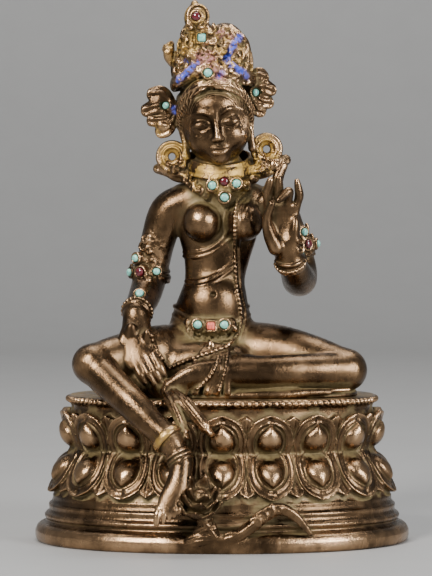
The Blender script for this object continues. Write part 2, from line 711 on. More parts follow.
# Tendrils: place along the stalk, counted in its points, and size
TENDRILS = [(4.1, 2.6), (4.6, 3.1), (5.1, 2.6), (5.6, 2.0), (2.6, 1.8)]
# Buds: distance along X, distance in from the lip to their backs, and height from the flower
BUDS = [(19, 1.6, -5.0), (22.6, 1.8, -1.6), (15.4, 1.0, -8.6)]
# The two leaves at the side: reach along X, height from the flower, and half width
SIDE_LEAVES = [(-9.5, -13.0, 2.0), (-6.5, -9.8, 1.7)]


def foot_lotus(clay):
    """The small lotus under the pendant foot, with its stalk and leaves laid against the foot mouldings."""
    x, y, z = FOOT_LOTUS
    facing = Vector((0.25, -0.6, 0.76)).normalized()
    turn = Vector((0, 0, 1)).rotation_difference(facing).to_euler()
    flower = spin(turn)
    clay.add(egg((x, y, z - 0.6), (4.2, 4.0, 5.6), turn), 0.4)
    for petals, radius, lift, wide, start in LOTUS_RINGS:
        for i in range(petals):
            a = (i + start) / petals * 2 * np.pi
            ways = [flower @ [share * radius * math.cos(a), share * radius * math.sin(a), lift + rise]
                    for share, rise in LOTUS_PETAL]
            side = flower @ [-math.sin(a), math.cos(a), 0]
            path = [(*(way + FOOT_LOTUS + (-0.3, -0.1, 0.8)), *size) for way, size in
                    zip(ways, ((wide * 0.6, 0.9), (wide, 0.75), (0.5, 0.5)))]
            clay.add(strand(path, side=side, per_span=4, relief=flutes(0.14, 8)), 0.12)
    front = front_of_lip
    stalk = [(x + 0.4, y + 1.0, z - 2.8, 2.4)]
    stalk += [(x + over, front(x + lip) + inwards, z + rise, size)
              for over, lip, inwards, rise, size in STALK]
    clay.add(strand(stalk, relief=flutes(0.2, 4, 2)), 0.3)
    turns = np.linspace(0, 2 * np.pi * 1.1, 9)
    for i, reach in TENDRILS:
        base = np.array(stalk[int(i)][:3]) * (1 - i % 1) + np.array(stalk[int(i) + 1][:3]) * (i % 1)
        scroll = [base + [0.5 + 0.3 * a * math.cos(a + 2), -1.3,
                          0.2 + 0.22 * reach / 2 * a * math.sin(a + 2)] for a in turns]
        clay.add(strand([(*p, 0.55) for p in scroll], per_span=4), 0.25)
    for bud in BUDS:
        clay.add(egg((x + bud[0], front(x + bud[0]) + bud[1] - 1.2, z + bud[2]), (1.0, 0.9, 1.0)), 0.2)
    for reach, level, size in SIDE_LEAVES:
        low = z + level
        side_leaf = [(x + 5, front(x + 5) - 0.2, low + 2.0, 1.2, 0.9),
                     (x + 5 + reach * 0.42, front(x) - 0.7, low + 1.7, size, 1.0),
                     (x + 5 + reach * 0.8, front(x - 4) - 0.2, low + 0.7, size * 0.8, 0.8),
                     (x + 5 + reach, front(x - 5) + 0.1, low, 0.4, 0.4)]
        clay.add(strand(side_leaf, side=(0, 0, 1), relief=flutes(0.16, 6)), 0.25)
    for place in ((x + 1.2, y + 1.2, z - 4.2), (x + 2.2, y + 2.0, z - 6.2)):
        clay.add(ring(place, (0.35, -0.2, -0.9), 2.1, 0.55), 0.2)


# From clay to finished metal


def cell_size():
    return 0.3


def mesh_from(name, points, quads):
    """A mesh from arrays of points in millimetres and of four-sided faces."""
    mesh = bpy.data.meshes.new(name)
    mesh.vertices.add(len(points))
    mesh.vertices.foreach_set("co", (points * MM).astype(np.float32).ravel())
    mesh.loops.add(quads.size)
    mesh.loops.foreach_set("vertex_index", quads.astype(np.int32).ravel())
    mesh.polygons.add(len(quads))
    mesh.polygons.foreach_set("loop_start", np.arange(0, quads.size, 4, dtype=np.int32))
    mesh.update(calc_edges=True)
    return mesh


def largest_body(points, quads):
    """Keeps the one largest connected skin."""
    label = np.arange(len(points))
    pairs = np.vstack([quads[:, [0, 1]], quads[:, [1, 2]], quads[:, [2, 3]], quads[:, [3, 0]]])
    while True:
        low = np.minimum(label[pairs[:, 0]], label[pairs[:, 1]])
        fresh = label.copy()
        np.minimum.at(fresh, pairs[:, 0], low)
        np.minimum.at(fresh, pairs[:, 1], low)
        fresh = fresh[fresh]
        if np.array_equal(fresh, label):
            break
        label = fresh
    names, counts = np.unique(label, return_counts=True)
    keep = label == names[counts.argmax()]
    number = np.cumsum(keep) - 1
    return points[keep], number[quads[keep[quads[:, 0]]]]


def casting(name, clay, material):
    """The clay's surface as a finished object: smoothed, thinned to the face limit and shaded smooth."""
    mesh = mesh_from(name, *largest_body(*clay.surface()))
    rough = bpy.data.objects.new(name + "_rough", mesh)
    bpy.context.scene.collection.objects.link(rough)
    smooth = rough.modifiers.new("Smooth", "SMOOTH")
    smooth.factor = 0.4
    smooth.iterations = 1
    thin = rough.modifiers.new("Thin", "DECIMATE")
    thin.ratio = min(1.0, MOST_FACES / (2 * len(mesh.polygons)))
    bpy.context.view_layer.update()
    ready = rough.evaluated_get(bpy.context.evaluated_depsgraph_get())
    final = bpy.data.meshes.new_from_object(ready)
    bpy.data.objects.remove(rough)
    bpy.data.meshes.remove(mesh)
    final.name = name
    final.shade_smooth()
    final.materials.clear()
    final.materials.append(material)
    piece = bpy.data.objects.new(name, final)
    bpy.context.scene.collection.objects.link(piece)
    return piece


def corners_of(mesh):
    points = np.empty(len(mesh.vertices) * 3, np.float32)
    normals = np.empty(len(mesh.vertices) * 3, np.float32)
    mesh.vertices.foreach_get("co", points)
    mesh.vertices.foreach_get("normal", normals)
    return points.reshape(-1, 3) / MM, normals.reshape(-1, 3)


def mark(mesh, name, values):
    """Stores a share from 0 to 1 at each point of a mesh, for its material."""
    attribute = mesh.attributes.new(name, "FLOAT", "POINT")
    attribute.data.foreach_set("value", np.clip(values, 0, 1).astype(np.float32))


# How far round a point the relief is felt for, in millimetres
BULGE_REACHES = (0.9, 2.2, 5.0)
HOLLOW_REACHES = (0.8, 1.6, 3.2)


def mark_relief(mesh, clay, weights, sheltered=()):
    """Marks the raised places that hands polish, and the hollows that hold dust and dark patina.

    The sheltered places, ellipsoids given by a centre and radii, are polished half as much. Gives back the
    mesh's points and normals."""
    points, normals = corners_of(mesh)
    local = points - clay.foot
    ways = [np.array(way) / np.linalg.norm(way) for way in np.argwhere(np.ones((3, 3, 3))) - 1 if any(way)]
    bulge = [np.mean([clay.sample(local + way * reach) for way in ways], axis=0) / reach
             for reach in BULGE_REACHES]
    hollow = [1 - clay.sample(local + normals * reach) / reach for reach in HOLLOW_REACHES]
    raised = weights[0] + sum(weight * share for weight, share in zip(weights[1:], bulge))
    for centre, radii in sheltered:
        raised = raised * (1 - 0.5 * within(local, centre, radii))
    mark(mesh, "raised", raised)
    mark(mesh, "hollow", np.mean(hollow, axis=0) * 1.6)
    return points, normals


# Materials


def material_named(name):
    return bpy.data.materials.get(name) or bpy.data.materials.new(name)


class Wiring:
    """Short calls for making and linking the nodes of one shader tree."""

    def __init__(self, tree):
        self.tree = tree

    def node(self, kind, **values):
        made = self.tree.nodes.new(kind)
        for key, value in values.items():
            setattr(made, key, value)
        return made

    def feed(self, target, value):
        if hasattr(value, "is_output"):
            self.tree.links.new(value, target)
        else:
            target.default_value = value

    def maths(self, operation, a, b=0.0, clamp=False):
        made = self.node("ShaderNodeMath", operation=operation, use_clamp=clamp)
        self.feed(made.inputs[0], a)
        self.feed(made.inputs[1], b)
        return made.outputs[0]

    plus = partialmethod(maths, "ADD")
    minus = partialmethod(maths, "SUBTRACT")
    times = partialmethod(maths, "MULTIPLY")
    larger = partialmethod(maths, "MAXIMUM")

    def span(self, value, low, high, to_low=0.0, to_high=1.0):
        made = self.node("ShaderNodeMapRange", interpolation_type="SMOOTHSTEP")
        for key, number in zip(("Value", "From Min", "From Max", "To Min", "To Max"),
                               (value, low, high, to_low, to_high)):
            self.feed(made.inputs[key], number)
        return made.outputs[0]

    def mix(self, share, a, b):
        made = self.node("ShaderNodeMix", data_type="RGBA")
        self.feed(made.inputs["Factor"], share)
        self.feed(made.inputs["A"], a)
        self.feed(made.inputs["B"], b)
        return made.outputs["Result"]

    def noise(self, place, scale, detail=4.0, rough=0.6, stretch=None):
        made = self.node("ShaderNodeTexNoise")
        if stretch:
            mapping = self.node("ShaderNodeMapping")
            mapping.inputs["Scale"].default_value = stretch
            self.feed(mapping.inputs["Vector"], place)
            place = mapping.outputs[0]
        self.feed(made.inputs["Vector"], place)
        made.inputs["Scale"].default_value = scale
        made.inputs["Detail"].default_value = detail
        made.inputs["Roughness"].default_value = rough
        return made.outputs["Fac"]


def colour(values):
    """A colour with its fourth value, as sockets take it."""
    return (*values[:3], 1.0)


# The patina's sockets, and the shares stored at a casting's points that they read
MARKS = {"Raised": "raised", "Hollow": "hollow", "Deposit": "deposit", "Gilding": "gilding",
         "Blue paint": "blue_paint", "Pink paint": "pink_paint", "Chasing": "chasing", "Hair": "hair",
         "Lock": "lock"}


def patina_group():
    """Aged cast bronze: dark in the hollows, worn to copper where raised, dusty, and gilded or painted."""
    tree = bpy.data.node_groups.new("Patina of a handled bronze", "ShaderNodeTree")
    for name in MARKS:
        socket(tree, name, "Float", 0.0)
    for name in ("Dark bronze", "Bronze", "Worn copper", "Gold", "Dust", "Blue", "Pink"):
        socket(tree, name, "Color")
    socket(tree, "Color", "Color", way="OUTPUT")
    for name in ("Roughness", "Metallic", "Height"):
        socket(tree, name, "Float", way="OUTPUT")
    w = Wiring(tree)
    given, out = w.node("NodeGroupInput").outputs, w.node("NodeGroupOutput").inputs
    place = w.node("ShaderNodeTexCoord").outputs["Object"]
    blotches = w.noise(place, 90, 5, 0.62)
    streaks = w.noise(place, 260, 4, 0.6, stretch=(1.0, 1.0, 0.45))
    grains = w.noise(place, 1500, 3, 0.6)
    fine = w.noise(place, 3600, 2, 0.5)
    cells = w.node("ShaderNodeTexVoronoi", feature="SMOOTH_F1")
    cells.inputs["Scale"].default_value = 620
    w.feed(cells.inputs["Vector"], place)
    chased = w.span(w.plus(cells.outputs["Distance"], w.times(grains, 0.3)), 0.35, 0.75)
    strands = w.maths("SINE", w.plus(w.times(given["Lock"], 330), w.times(streaks, 5.0)))
    wear = w.plus(given["Raised"], w.times(w.minus(blotches, 0.5), 0.9))
    wear = w.plus(wear, w.times(given["Chasing"], w.minus(chased, 0.35)))
    wear = w.plus(wear, w.times(given["Hair"], w.plus(0.3, w.times(strands, 0.35))))
    wear = w.plus(wear, w.times(w.minus(streaks, 0.5), 0.6))
    worn = w.span(wear, 0.4, 1.05)
    body = w.mix(w.span(blotches, 0.3, 0.7), given["Dark bronze"], given["Bronze"])
    body = w.mix(worn, body, given["Worn copper"])
    sunk = w.plus(given["Hollow"], w.times(w.minus(grains, 0.5), 0.5))
    sunk = w.plus(sunk, w.times(given["Chasing"], w.minus(0.45, chased)))
    dark = w.span(sunk, 0.28, 0.85)
    body = w.mix(w.times(dark, 0.8), body, given["Dark bronze"])
    settled = w.plus(given["Hollow"], w.plus(streaks, w.times(given["Deposit"], 0.5)))
    settled = w.minus(settled, w.times(given["Raised"], 0.9))
    settled = w.minus(settled, w.times(given["Chasing"], w.times(chased, 0.5)))
    mottled = w.times(w.span(grains, 0.3, 0.62, 0.5, 1.0), 1.2)
    dusty = w.times(w.times(given["Deposit"], mottled), w.span(settled, 0.7, 1.45), clamp=True)
    body = w.mix(dusty, body, given["Dust"])
    patchy = w.span(w.plus(streaks, w.times(grains, 0.5)), 0.5, 0.85)
    kept = w.times(given["Gilding"], w.span(w.minus(1.25, patchy), 0.25, 0.75), clamp=True)
    kept = w.times(kept, w.minus(1.0, w.times(dark, 0.75)), clamp=True)
    body = w.mix(kept, body, given["Gold"])
    flakes = w.span(w.noise(place, 700, 4, 0.7), 0.38, 0.52)
    blue = w.times(given["Blue paint"], flakes, clamp=True)
    pink = w.times(given["Pink paint"], w.span(grains, 0.42, 0.6), clamp=True)
    body = w.mix(pink, w.mix(blue, body, given["Blue"]), given["Pink"])
    covered = w.larger(w.times(dusty, 0.75), w.larger(blue, w.times(pink, 0.7)))
    covered = w.larger(covered, w.times(kept, 0.45))
    rough = w.plus(w.span(streaks, 0.3, 0.7, 0.2, 0.34), w.times(dark, 0.16))
    rough = w.minus(rough, w.times(worn, 0.06))
    rough = w.plus(rough, w.times(kept, 0.06))
    rough = w.plus(rough, w.times(covered, 0.35), clamp=True)
    height = w.plus(w.times(grains, 0.6), w.times(fine, 0.4))
    height = w.plus(height, w.times(streaks, 0.8))
    height = w.plus(height, w.times(given["Chasing"], w.times(chased, 2.2)))
    height = w.plus(height, w.times(given["Hair"], w.times(strands, 1.1)))
    w.feed(out["Color"], body)
    w.feed(out["Roughness"], rough)
    w.feed(out["Metallic"], w.minus(1.0, covered, clamp=True))
    w.feed(out["Height"], height)
    return tree


def shader_start(material):
    """Clears a material and gives its wiring, its Principled node and the socket of the place."""
    material.use_nodes = True
    material.node_tree.nodes.clear()
    w = Wiring(material.node_tree)
    shader = w.node("ShaderNodeBsdfPrincipled")
    output = w.node("ShaderNodeOutputMaterial")
    w.tree.links.new(shader.outputs[0], output.inputs["Surface"])
    return w, shader, w.node("ShaderNodeTexCoord").outputs["Object"]


def bump(w, shader, height, distance, strength=0.5):
    made = w.node("ShaderNodeBump")
    made.inputs["Strength"].default_value = strength
    made.inputs["Distance"].default_value = distance
    w.feed(made.inputs["Height"], height)
    w.feed(shader.inputs["Normal"], made.outputs[0])


def bronze(title, colours, marks):
    """The material of one casting. marks names the sockets of the patina that it uses."""
    material = material_named(title)
    w, shader, _ = shader_start(material)
    group = w.node("ShaderNodeGroup", node_tree=node_group("Patina of a handled bronze", patina_group))
    for name in marks:
        share = w.node("ShaderNodeAttribute", attribute_name=MARKS[name])
        w.feed(group.inputs[name], share.outputs["Fac"])
    for name, value in colours.items():
        group.inputs[name].default_value = colour(value)
    for target, source in (("Base Color", "Color"), ("Roughness", "Roughness"), ("Metallic", "Metallic")):
        w.feed(shader.inputs[target], group.outputs[source])
    bump(w, shader, group.outputs["Height"], 0.00018, 0.7)
    return material


# The veins of turquoise: how many there are to a metre, and their brown
VEINS = 700
VEIN_BROWN = (0.16, 0.12, 0.07)


def stone(title, deep, light, clouds, gloss, coat, relief=0.0, stretch=None, veined=False):
    """Cut stone with darker and lighter clouds and a polish.

    clouds are the noise's scale, detail and roughness, gloss the surface's two roughnesses, and coat the
    weight of the clear polish, with its roughness where it isn't the usual one."""
    material = material_named(title)
    w, shader, place = shader_start(material)
    cloudy = w.noise(place, *clouds, stretch)
    body = w.mix(w.span(cloudy, 0.35, 0.65), colour(deep), colour(light))
    if veined:
        veins = w.node("ShaderNodeTexVoronoi", feature="DISTANCE_TO_EDGE")
        veins.inputs["Scale"].default_value = VEINS
        w.feed(veins.inputs["Vector"], place)
        body = w.mix(w.span(veins.outputs["Distance"], 0.0, 0.05, 0.45, 0.0), body, colour(VEIN_BROWN))
    w.feed(shader.inputs["Base Color"], body)
    w.feed(shader.inputs["Roughness"], w.span(cloudy, 0.3, 0.7, *gloss))
    for name, value in zip(("Coat Weight", "Coat Roughness"), coat):
        shader.inputs[name].default_value = value
    if relief:
        bump(w, shader, cloudy, relief, 0.4)
    return material


# The figure. Its coordinates have the seat at height 0 and the figure's own right arm at -X.

TORSO = [
    (1, -2.5, 0, 18, 12.8), (13, -3.2, 0.8, 16.2, 11.5), (20, -3.5, 0.6, 14.0, 10.4),
    (27, -3.3, -0.2, 12.0, 9.4), (32, -2.8, -0.4, 10.6, 8.4), (36.5, -2.3, 0, 9.6, 7.1),
    (43, -1.6, 0.2, 10.5, 7), (50, -1.3, 0.6, 12.4, 7.5), (58, -1.2, 0.9, 14.2, 7.7), (64, -1, 1, 12.6, 7),
    (69, -1, 0.6, 7.4, 6.2), (77, -1.4, -1, 5.9, 5.7),
]
RIGHT_ARM = [
    (-11.6, 1.5, 61.2, 6.2), (-17.2, 2, 58, 6.0), (-20.2, 3, 50, 5.6), (-21.8, 4.2, 43, 5.3),
    (-23, 5, 37.5, 5.4), (-24.6, -2.5, 31.5, 5.1), (-26.2, -11, 27.8, 4.5), (-27, -15.5, 26, 4.1),
]
LEFT_ARM = [
    (9.6, 1.5, 60.8, 6.2), (17.4, 2.5, 58.6, 6.0), (21, 4.2, 52.5, 5.5), (23.4, 5.6, 46, 5.3),
    (25, 6.4, 39.6, 5.5), (24.8, 1.5, 36.4, 5.5), (23.6, -6, 38.4, 4.9), (21.9, -12, 42.2, 4.2),
]
RIGHT_THIGH = [
    (-8, -1, 12, 10.2, 9.8), (-20, -9, 13, 9.1, 8.9), (-32, -18, 12.2, 7.4, 7.0), (-40.4, -24, 10.6, 5.9),
]
RIGHT_SHIN = [
    (-40.6, -24, 10.6, 5.7), (-34.4, -29.2, 4.9, 5.5), (-28, -34.6, -0.8, 5.0), (-21.4, -38.0, -7.2, 4.4),
    (-15.9, -40.5, -12.2, 4.0), (-12.2, -42.4, -18.7, 3.3),
]
RIGHT_FOOT = [
    (-12.2, -42.4, -18.4, 3.3, 3.4), (-13.2, -45.2, -24.7, 3.9, 2.8), (-15.2, -47.4, -29.7, 4.1, 2.0),
    (-16.4, -48.6, -32.6, 3.6, 1.5),
]
LEFT_THIGH = [
    (6, -1, 13, 10.2, 10.2), (18, -5, 12.8, 9.2, 8.8), (30, -9, 10.6, 7.7, 7.5), (39, -11, 8, 6.3),
]
LEFT_SHIN = [(39.6, -12.4, 7.8, 5.9), (28, -18, 8, 5.5), (14, -21.5, 8, 5.2), (2, -22.5, 7.8, 4.5)]
LEFT_FOOT = [
    (3, -22.8, 7.8, 4.2, 3.4), (-5.5, -25, 7.6, 4.2, 2.9), (-12, -26.2, 5.6, 3.5, 2.3),
    (-17, -27, 3.2, 2.1, 1.6),
]
HEAD_PLACE = (-2.0, -4.0, 86.4)
HEAD_TURN = (0.08, -0.13, 0.0)
UP = (0, 0, 1)


def loft(levels):
    """A body of oval level sections from (height, x, y, half width, half depth)."""
    path = along([(x, y, z, a, b) for z, x, y, a, b in levels])
    heights = path[:, 2]
    reach = path[:, 3:5].max() + 0.5

    def field(x, y, z):
        cx, cy, a, b = (np.interp(z, heights, path[:, i]) for i in (0, 1, 3, 4))
        u, v = (x - cx) / a, (y - cy) / b
        outer = np.sqrt(u ** 2 + v ** 2) + 1e-6
        slope = np.sqrt((u / a) ** 2 + (v / b) ** 2) + 1e-6
        distance = outer * (outer - 1) / slope
        return np.maximum(distance, np.maximum(heights[0] - z, z - heights[-1]))

    low = [path[:, 0].min() - reach, path[:, 1].min() - reach, heights[0]]
    high = [path[:, 0].max() + reach, path[:, 1].max() + reach, heights[-1]]
    return Form(low, high, field)


def sculpt_figure(sizes):
    """The clay of the figure, without its stones' collets: body, head, garments and jewellery."""
    clay = Clay((-47.5, -52.5, -41), (47, 21, 125), cell_size(), SEAT)
    body(clay)
    cloth(clay)
    right_hand(clay)
    left_hand(clay)
    feet(clay)
    head(clay)
    crown(clay, sizes)
    ear_ornaments(clay)
    garments(clay, sizes)
    necklace(clay, sizes)
    belt(clay)
    armlets(clay, sizes)
    return clay


# Where the photograph shows the navel
NAVEL_PIXEL = (213, 294.5)


def body(clay):
    """The torso, the arms, and the two legs as far as the feet."""
    clay.add(loft(TORSO))
    for x in (-6.4, 7.0):
        clay.add(egg((x, -6.9, 54.8), (6.1, 6.2, 6.1)), 1.2)
    clay.add(egg((-3.2, -6.6, 29.2), (7.6, 4.2, 6.6)), 4)
    clay.add(strand([(-9.6, 0.6, 62.6, 5.0), (-1, 0.8, 64.4, 5.4), (8, 0.8, 62.6, 5.0)], per_span=3), 3)
    for limb in (RIGHT_ARM, LEFT_ARM):
        clay.add(strand(limb, per_span=5), 1.6)
    clay.add(strand(RIGHT_THIGH, side=UP), 2)
    clay.add(strand(LEFT_THIGH, side=UP), 2)
    clay.add(egg((-40.3, -24.4, 10.6), (6.1, 6.2, 6.2)), 1.5)
    clay.add(egg((39.2, -11.4, 8.2), (6.5, 6.4, 6.5)), 1.5)
    clay.add(strand(RIGHT_SHIN), 1)
    clay.add(strand(LEFT_SHIN, side=UP), 0.8)
    clay.add(egg((6, -20.6, 8.6), (8, 4.2, 5)), 2)
    clay.add(strand(LEFT_FOOT, side=(0.2, -0.3, 1)), 0.8)
    clay.cut(egg(clay.seen([NAVEL_PIXEL], 0.3)[0], (0.95, 1.2, 0.8)), 0.5)


# Levels of the cloth on the seat, as loft takes them
SEAT_CLOTH = [
    (-0.8, 5.4, -7, 37.8, 19.4), (1.2, 5.6, -6.8, 37.2, 19.0), (2.6, 6, -6, 35.2, 17.0),
    (3.4, 6, -6, 33.0, 15.0),
]
# Folds of the cloth on the seat: the X where each starts and ends
SEAT_FOLDS = [(-4, 34), (1, 30), (6, 40), (10, 26), (-8, 12)]
# Folds that fall from the lap: the X of top and foot, and radius
LAP_FOLDS = [(-4.4, -12.0, 1.2), (-3.0, -8.6, 1.1), (-1.4, -4.6, 1.2), (0.2, -1.6, 1.1), (1.6, 1.6, 1.0)]
# The sash's knot: places and radii
SASH_KNOT = [
    (-20.5, -25.6, 4.2, 2.3), (-17.4, -28.0, 2.2, 2.0), (-14.0, -26.4, 3.2, 2.2), (-17.0, -26.6, 4.6, 1.8),
]
# The sash's two ends, from the knot down over the rim
SASH_ENDS = [
    [(-15.6, -27.6, 2.2, 2.2, 1.4), (-12.5, -34.4, 0.5, 2.1, 1.0), (-8.6, -37.0, -3.8, 1.9, 1.1),
     (-4.8, -38.6, -8.4, 1.6, 1.2)],
    [(-17.4, -28.0, 1.8, 1.8, 1.2), (-15.4, -34.6, -0.8, 1.7, 1.0), (-13.2, -37.0, -5.2, 1.6, 1.0),
     (-11.6, -38.2, -9.6, 1.4, 1.1)],
]


def cloth(clay):
    """The skirt across the lap, the cloth spread over the seat, and the sash's ends over the rim."""
    skirt = [(-17, -12.6, 8.4, 7.2, 6), (-7, -14.6, 9.2, 8.0, 6.6), (3.4, -13.4, 8.8, 7.4, 6)]
    clay.add(strand(skirt, side=UP), 2.5)
    clay.add(strand([(-27.5, -16, 5.5, 5.5), (-22, -20.5, 4.2, 4.6), (-16, -24.6, 2.4, 2.6)]), 1.5)
    clay.add(loft(SEAT_CLOTH), 0.8)
    for i, (start, end) in enumerate(SEAT_FOLDS):
        y = -25.0 + 1.1 * i
        level = 1.2 + 0.42 * i
        line = [(start, y + 0.6, level, 0.6), ((start + end) / 2, y - 0.2, level - 0.2, 1.15),
                (end, y + 2.2 + 0.05 * end, level + 0.2, 0.5)]
        clay.add(strand(line, per_span=8), 0.9)
    for top, foot, size in LAP_FOLDS:
        fold = [(top, -19.4, 15.6, size), (top * 0.6 + foot * 0.4, -22.8, 12.0, size),
                (top * 0.3 + foot * 0.7, -25.6, 7.2, size, size * 0.8),
                (foot, -26.2, 1.6, size * 1.2, size * 0.7)]
        clay.add(strand(fold), 0.8)
    for x, y, z, size in SASH_KNOT:
        clay.add(egg((x, y, z), (size, size * 0.8, size * 0.9), (0.2, 0.5, 0)), 0.8)
    for path in SASH_ENDS:
        clay.add(strand(path, side=(1, 0, 0), relief=flutes(0.2, 6)), 0.4)
        place, before = np.array(path[-1][:3]), np.array(path[-2][:3])
        clay.add(ring(place, place - before, 1.4, 0.45), 0.3)
        clay.add(strand([(*place, 1.5, 1.1), (*(place * 1.35 - before * 0.35), 2.1, 1.1)], per_span=3), 0.4)


def circle(centre, axis, radius, turns):
    """Points on the circle round an axis, at these turns in radians."""
    axis = Vector(axis).normalized()
    first = axis.orthogonal().normalized()
    second = axis.cross(first)
    return [np.array(centre) + radius * (math.cos(a) * np.array(first) + math.sin(a) * np.array(second))
            for a in turns]


def finger(clay, root, joint, tip, size, blend):
    """A finger from its root over its middle joint to its tip."""
    root, joint, tip = (np.array(p, float) for p in (root, joint, tip))
    path = [(*root, size), (*(root * 0.5 + joint * 0.5), size * 0.95), (*joint, size * 1.02),
            (*(joint * 0.4 + tip * 0.6), size * 0.88), (*tip, size * 0.66)]
    clay.add(strand(path, per_span=3), blend)


# Fingers of the giving hand: place across the palm, share of the full length
RIGHT_FINGERS = [(-3.3, 0.8), (-1.1, 0.94), (1.05, 0.9), (3.05, 0.74)]
RIGHT_PALM = [
    (-26.9, -16.4, 25.4, 4.2, 3.2), (-26.7, -19.6, 21, 4.7, 2.6), (-25.4, -22.8, 15.4, 5.4, 2.2),
    (-23.9, -25.0, 11, 5.2, 1.7),
]
RIGHT_THUMB = [
    (-29, -19.6, 22.4, 2.0), (-30.9, -21.6, 17.4, 1.8), (-30.2, -23.6, 13, 1.45), (-28.2, -25.4, 9.8, 1.1),
]


def right_hand(clay):
    """The giving hand: its open palm turned forward on the knee, fingers down."""
    clay.add(strand(RIGHT_PALM), 0.8)
    clay.add(egg((-28.6, -21.6, 19.6), (2.2, 1.9, 4.2), (0.4, 0.1, 0)), 0.9)
    clay.add(egg((-23.0, -22.6, 17.6), (1.8, 1.7, 4.2), (0.4, -0.1, 0)), 0.9)
    for across, length in RIGHT_FINGERS:
        root = np.array([-23.6 + across, -25.2, 11.2 + across * 0.3])
        tip = root + [3.7 * length, -2.0 * length, -6.8 * length]
        joint = (root + tip) / 2 + [0, -0.9, 0]
        finger(clay, root + [-0.8, 0.4, 1.6], joint, tip, 1.42, 0.3)
    clay.add(strand(RIGHT_THUMB, per_span=4), 0.5)


LEFT_PALM = [
    (21.6, -12.6, 43.2, 4.1, 3.4), (20.0, -14.6, 47.4, 4.6, 3.0), (19.2, -15.2, 53, 5.0, 1.9),
    (19.0, -15.0, 59.4, 5.0, 1.5),
]
LEFT_THUMB = [
    (17.0, -16.4, 46.8, 2.6), (14.9, -17.4, 51, 2.0), (14.1, -18.4, 56, 1.5), (15.6, -19.6, 60.6, 1.15),
]
# Fingers of the raised hand: root, joint, tip and radius
LEFT_FINGERS = [
    ((15.0, -15.4, 58.4), (14.2, -17.2, 64.0), (15.2, -18.6, 68.0), 1.6),
    ((18.0, -15.4, 60.0), (17.8, -16.8, 65), (17.8, -18.2, 68.6), 1.55),
    ((20.8, -15.4, 60.0), (20.9, -18.6, 64.4), (17.6, -20.4, 61.6), 1.45),
    ((23.0, -15.0, 58), (24.3, -15.8, 63.2), (23.6, -16.6, 67.6), 1.4),
]
LOTUS_STEM = [(17.2, -14.6, 64, 1.5), (17.6, -13.6, 69, 1.8), (19.4, -13.0, 72.6, 1.3)]


def left_hand(clay):
    """The raised hand that held a lotus: its ring finger bent to meet the thumb."""
    clay.add(strand(LEFT_PALM), 0.6)
    clay.add(egg((15.9, -16.6, 50.6), (2.1, 2.2, 5.0), (0.1, -0.32, 0)), 0.8)
    clay.add(egg((22.6, -16.0, 51.4), (1.8, 2.0, 5.4), (0.1, 0.1, 0)), 0.8)
    clay.add(egg((19.4, -15.8, 59.6), (4.6, 1.6, 1.7)), 0.8)
    clay.cut(egg((18.6, -18.2, 53.6), (2.6, 1.5, 4.2)), 1.6)
    clay.add(strand(LEFT_THUMB, per_span=5), 0.8)
    for root, joint, tip, size in LEFT_FINGERS:
        finger(clay, root, joint, tip, size, 0.5)
    clay.add(strand(LOTUS_STEM, relief=flutes(0.1, 3)), 0.3)
    petals = (lambda x, y, z: 0.2 * np.cos(6 * np.arctan2(x, y)))
    clay.add(egg((16.9, -12.6, 72.6), (1.7, 1.7, 2.2), relief=petals), 0.3)


# Toes of the pendant foot: place across it, radius and length
TOES = [(-3.2, 1.2, 2.9), (-1.1, 0.92, 2.9), (0.65, 0.85, 2.6), (2.2, 0.78, 2.2), (3.6, 0.7, 1.7)]


def feet(clay):
    """The pendant foot on its lotus, its toes and its anklets."""
    clay.add(strand(RIGHT_FOOT, side=(1, 0, -0.25)), 0.9)
    clay.add(egg((-12.4, -41.4, -20.2), (3.1, 3.2, 3.4)), 1)
    x, y, z = RIGHT_FOOT[-1][:3]
    for across, size, length in TOES:
        toe = [(x + across * 0.9, y + 0.5, z + 1.4 + across * 0.25, size),
               (x + across, y - 0.8, z - 0.4 + across * 0.3, size),
               (x + across - 0.3, y - 0.9, z - length + across * 0.3, size * 0.8)]
        clay.add(strand(toe, per_span=3), 0.12)
    middle, ankle, heel = (np.array(RIGHT_SHIN[i][:3]) for i in (2, 4, 5))
    clay.add(ring(ankle + (middle - ankle) * 0.06, middle - ankle, 4.5, 0.75, 1.1), 0.1)
    clay.add(ring(ankle + (middle - ankle) * 0.12, middle - ankle, 4.6, 0.5), 0.1)
    for share, radius in [(0.62, 3.9), (0.95, 3.6)]:
        clay.add(ring(ankle + (heel - ankle) * share, heel - ankle, radius, 0.45), 0.1)
    hoop = circle(ankle + (heel - ankle) * 0.8, heel - ankle, 4.0, np.linspace(0, 2 * np.pi, 33))
    string_beads(clay, [hoop], 0.5)


# The head, on even proportions: the eyes lie at its middle height, and the nose ends halfway to the chin.


def on_head(points):
    """Places head coordinates, with the viewer at -Y and the eyes at height 0, into the figure."""
    turn = spin(HEAD_TURN)
    return [(*(turn @ np.array(p[:3]) + HEAD_PLACE), *p[3:]) for p in points]


def head_egg(centre, radii):
    return egg(on_head([centre])[0], radii, spin(HEAD_TURN))


def on_face(face, points, sink):
    """A line on the face through head coordinates [across, up, radius]."""
    path = along([(x, z, 0, size, 0) for x, z, size in points], 5)
    turn = spin(HEAD_TURN)
    starts = [turn @ (x, -20, z) + HEAD_PLACE for x, z, *_ in path]
    found = face.meet(starts, [turn @ (0, 1, 0)] * len(starts), 20, sink)
    return strand([(*p, size) for p, size in zip(found, path[:, 3])], per_span=2)


def both_sides(points):
    """The same line on the right and on the left."""
    return [[(way * p[0], *p[1:]) for p in points] for way in (-1, 1)]


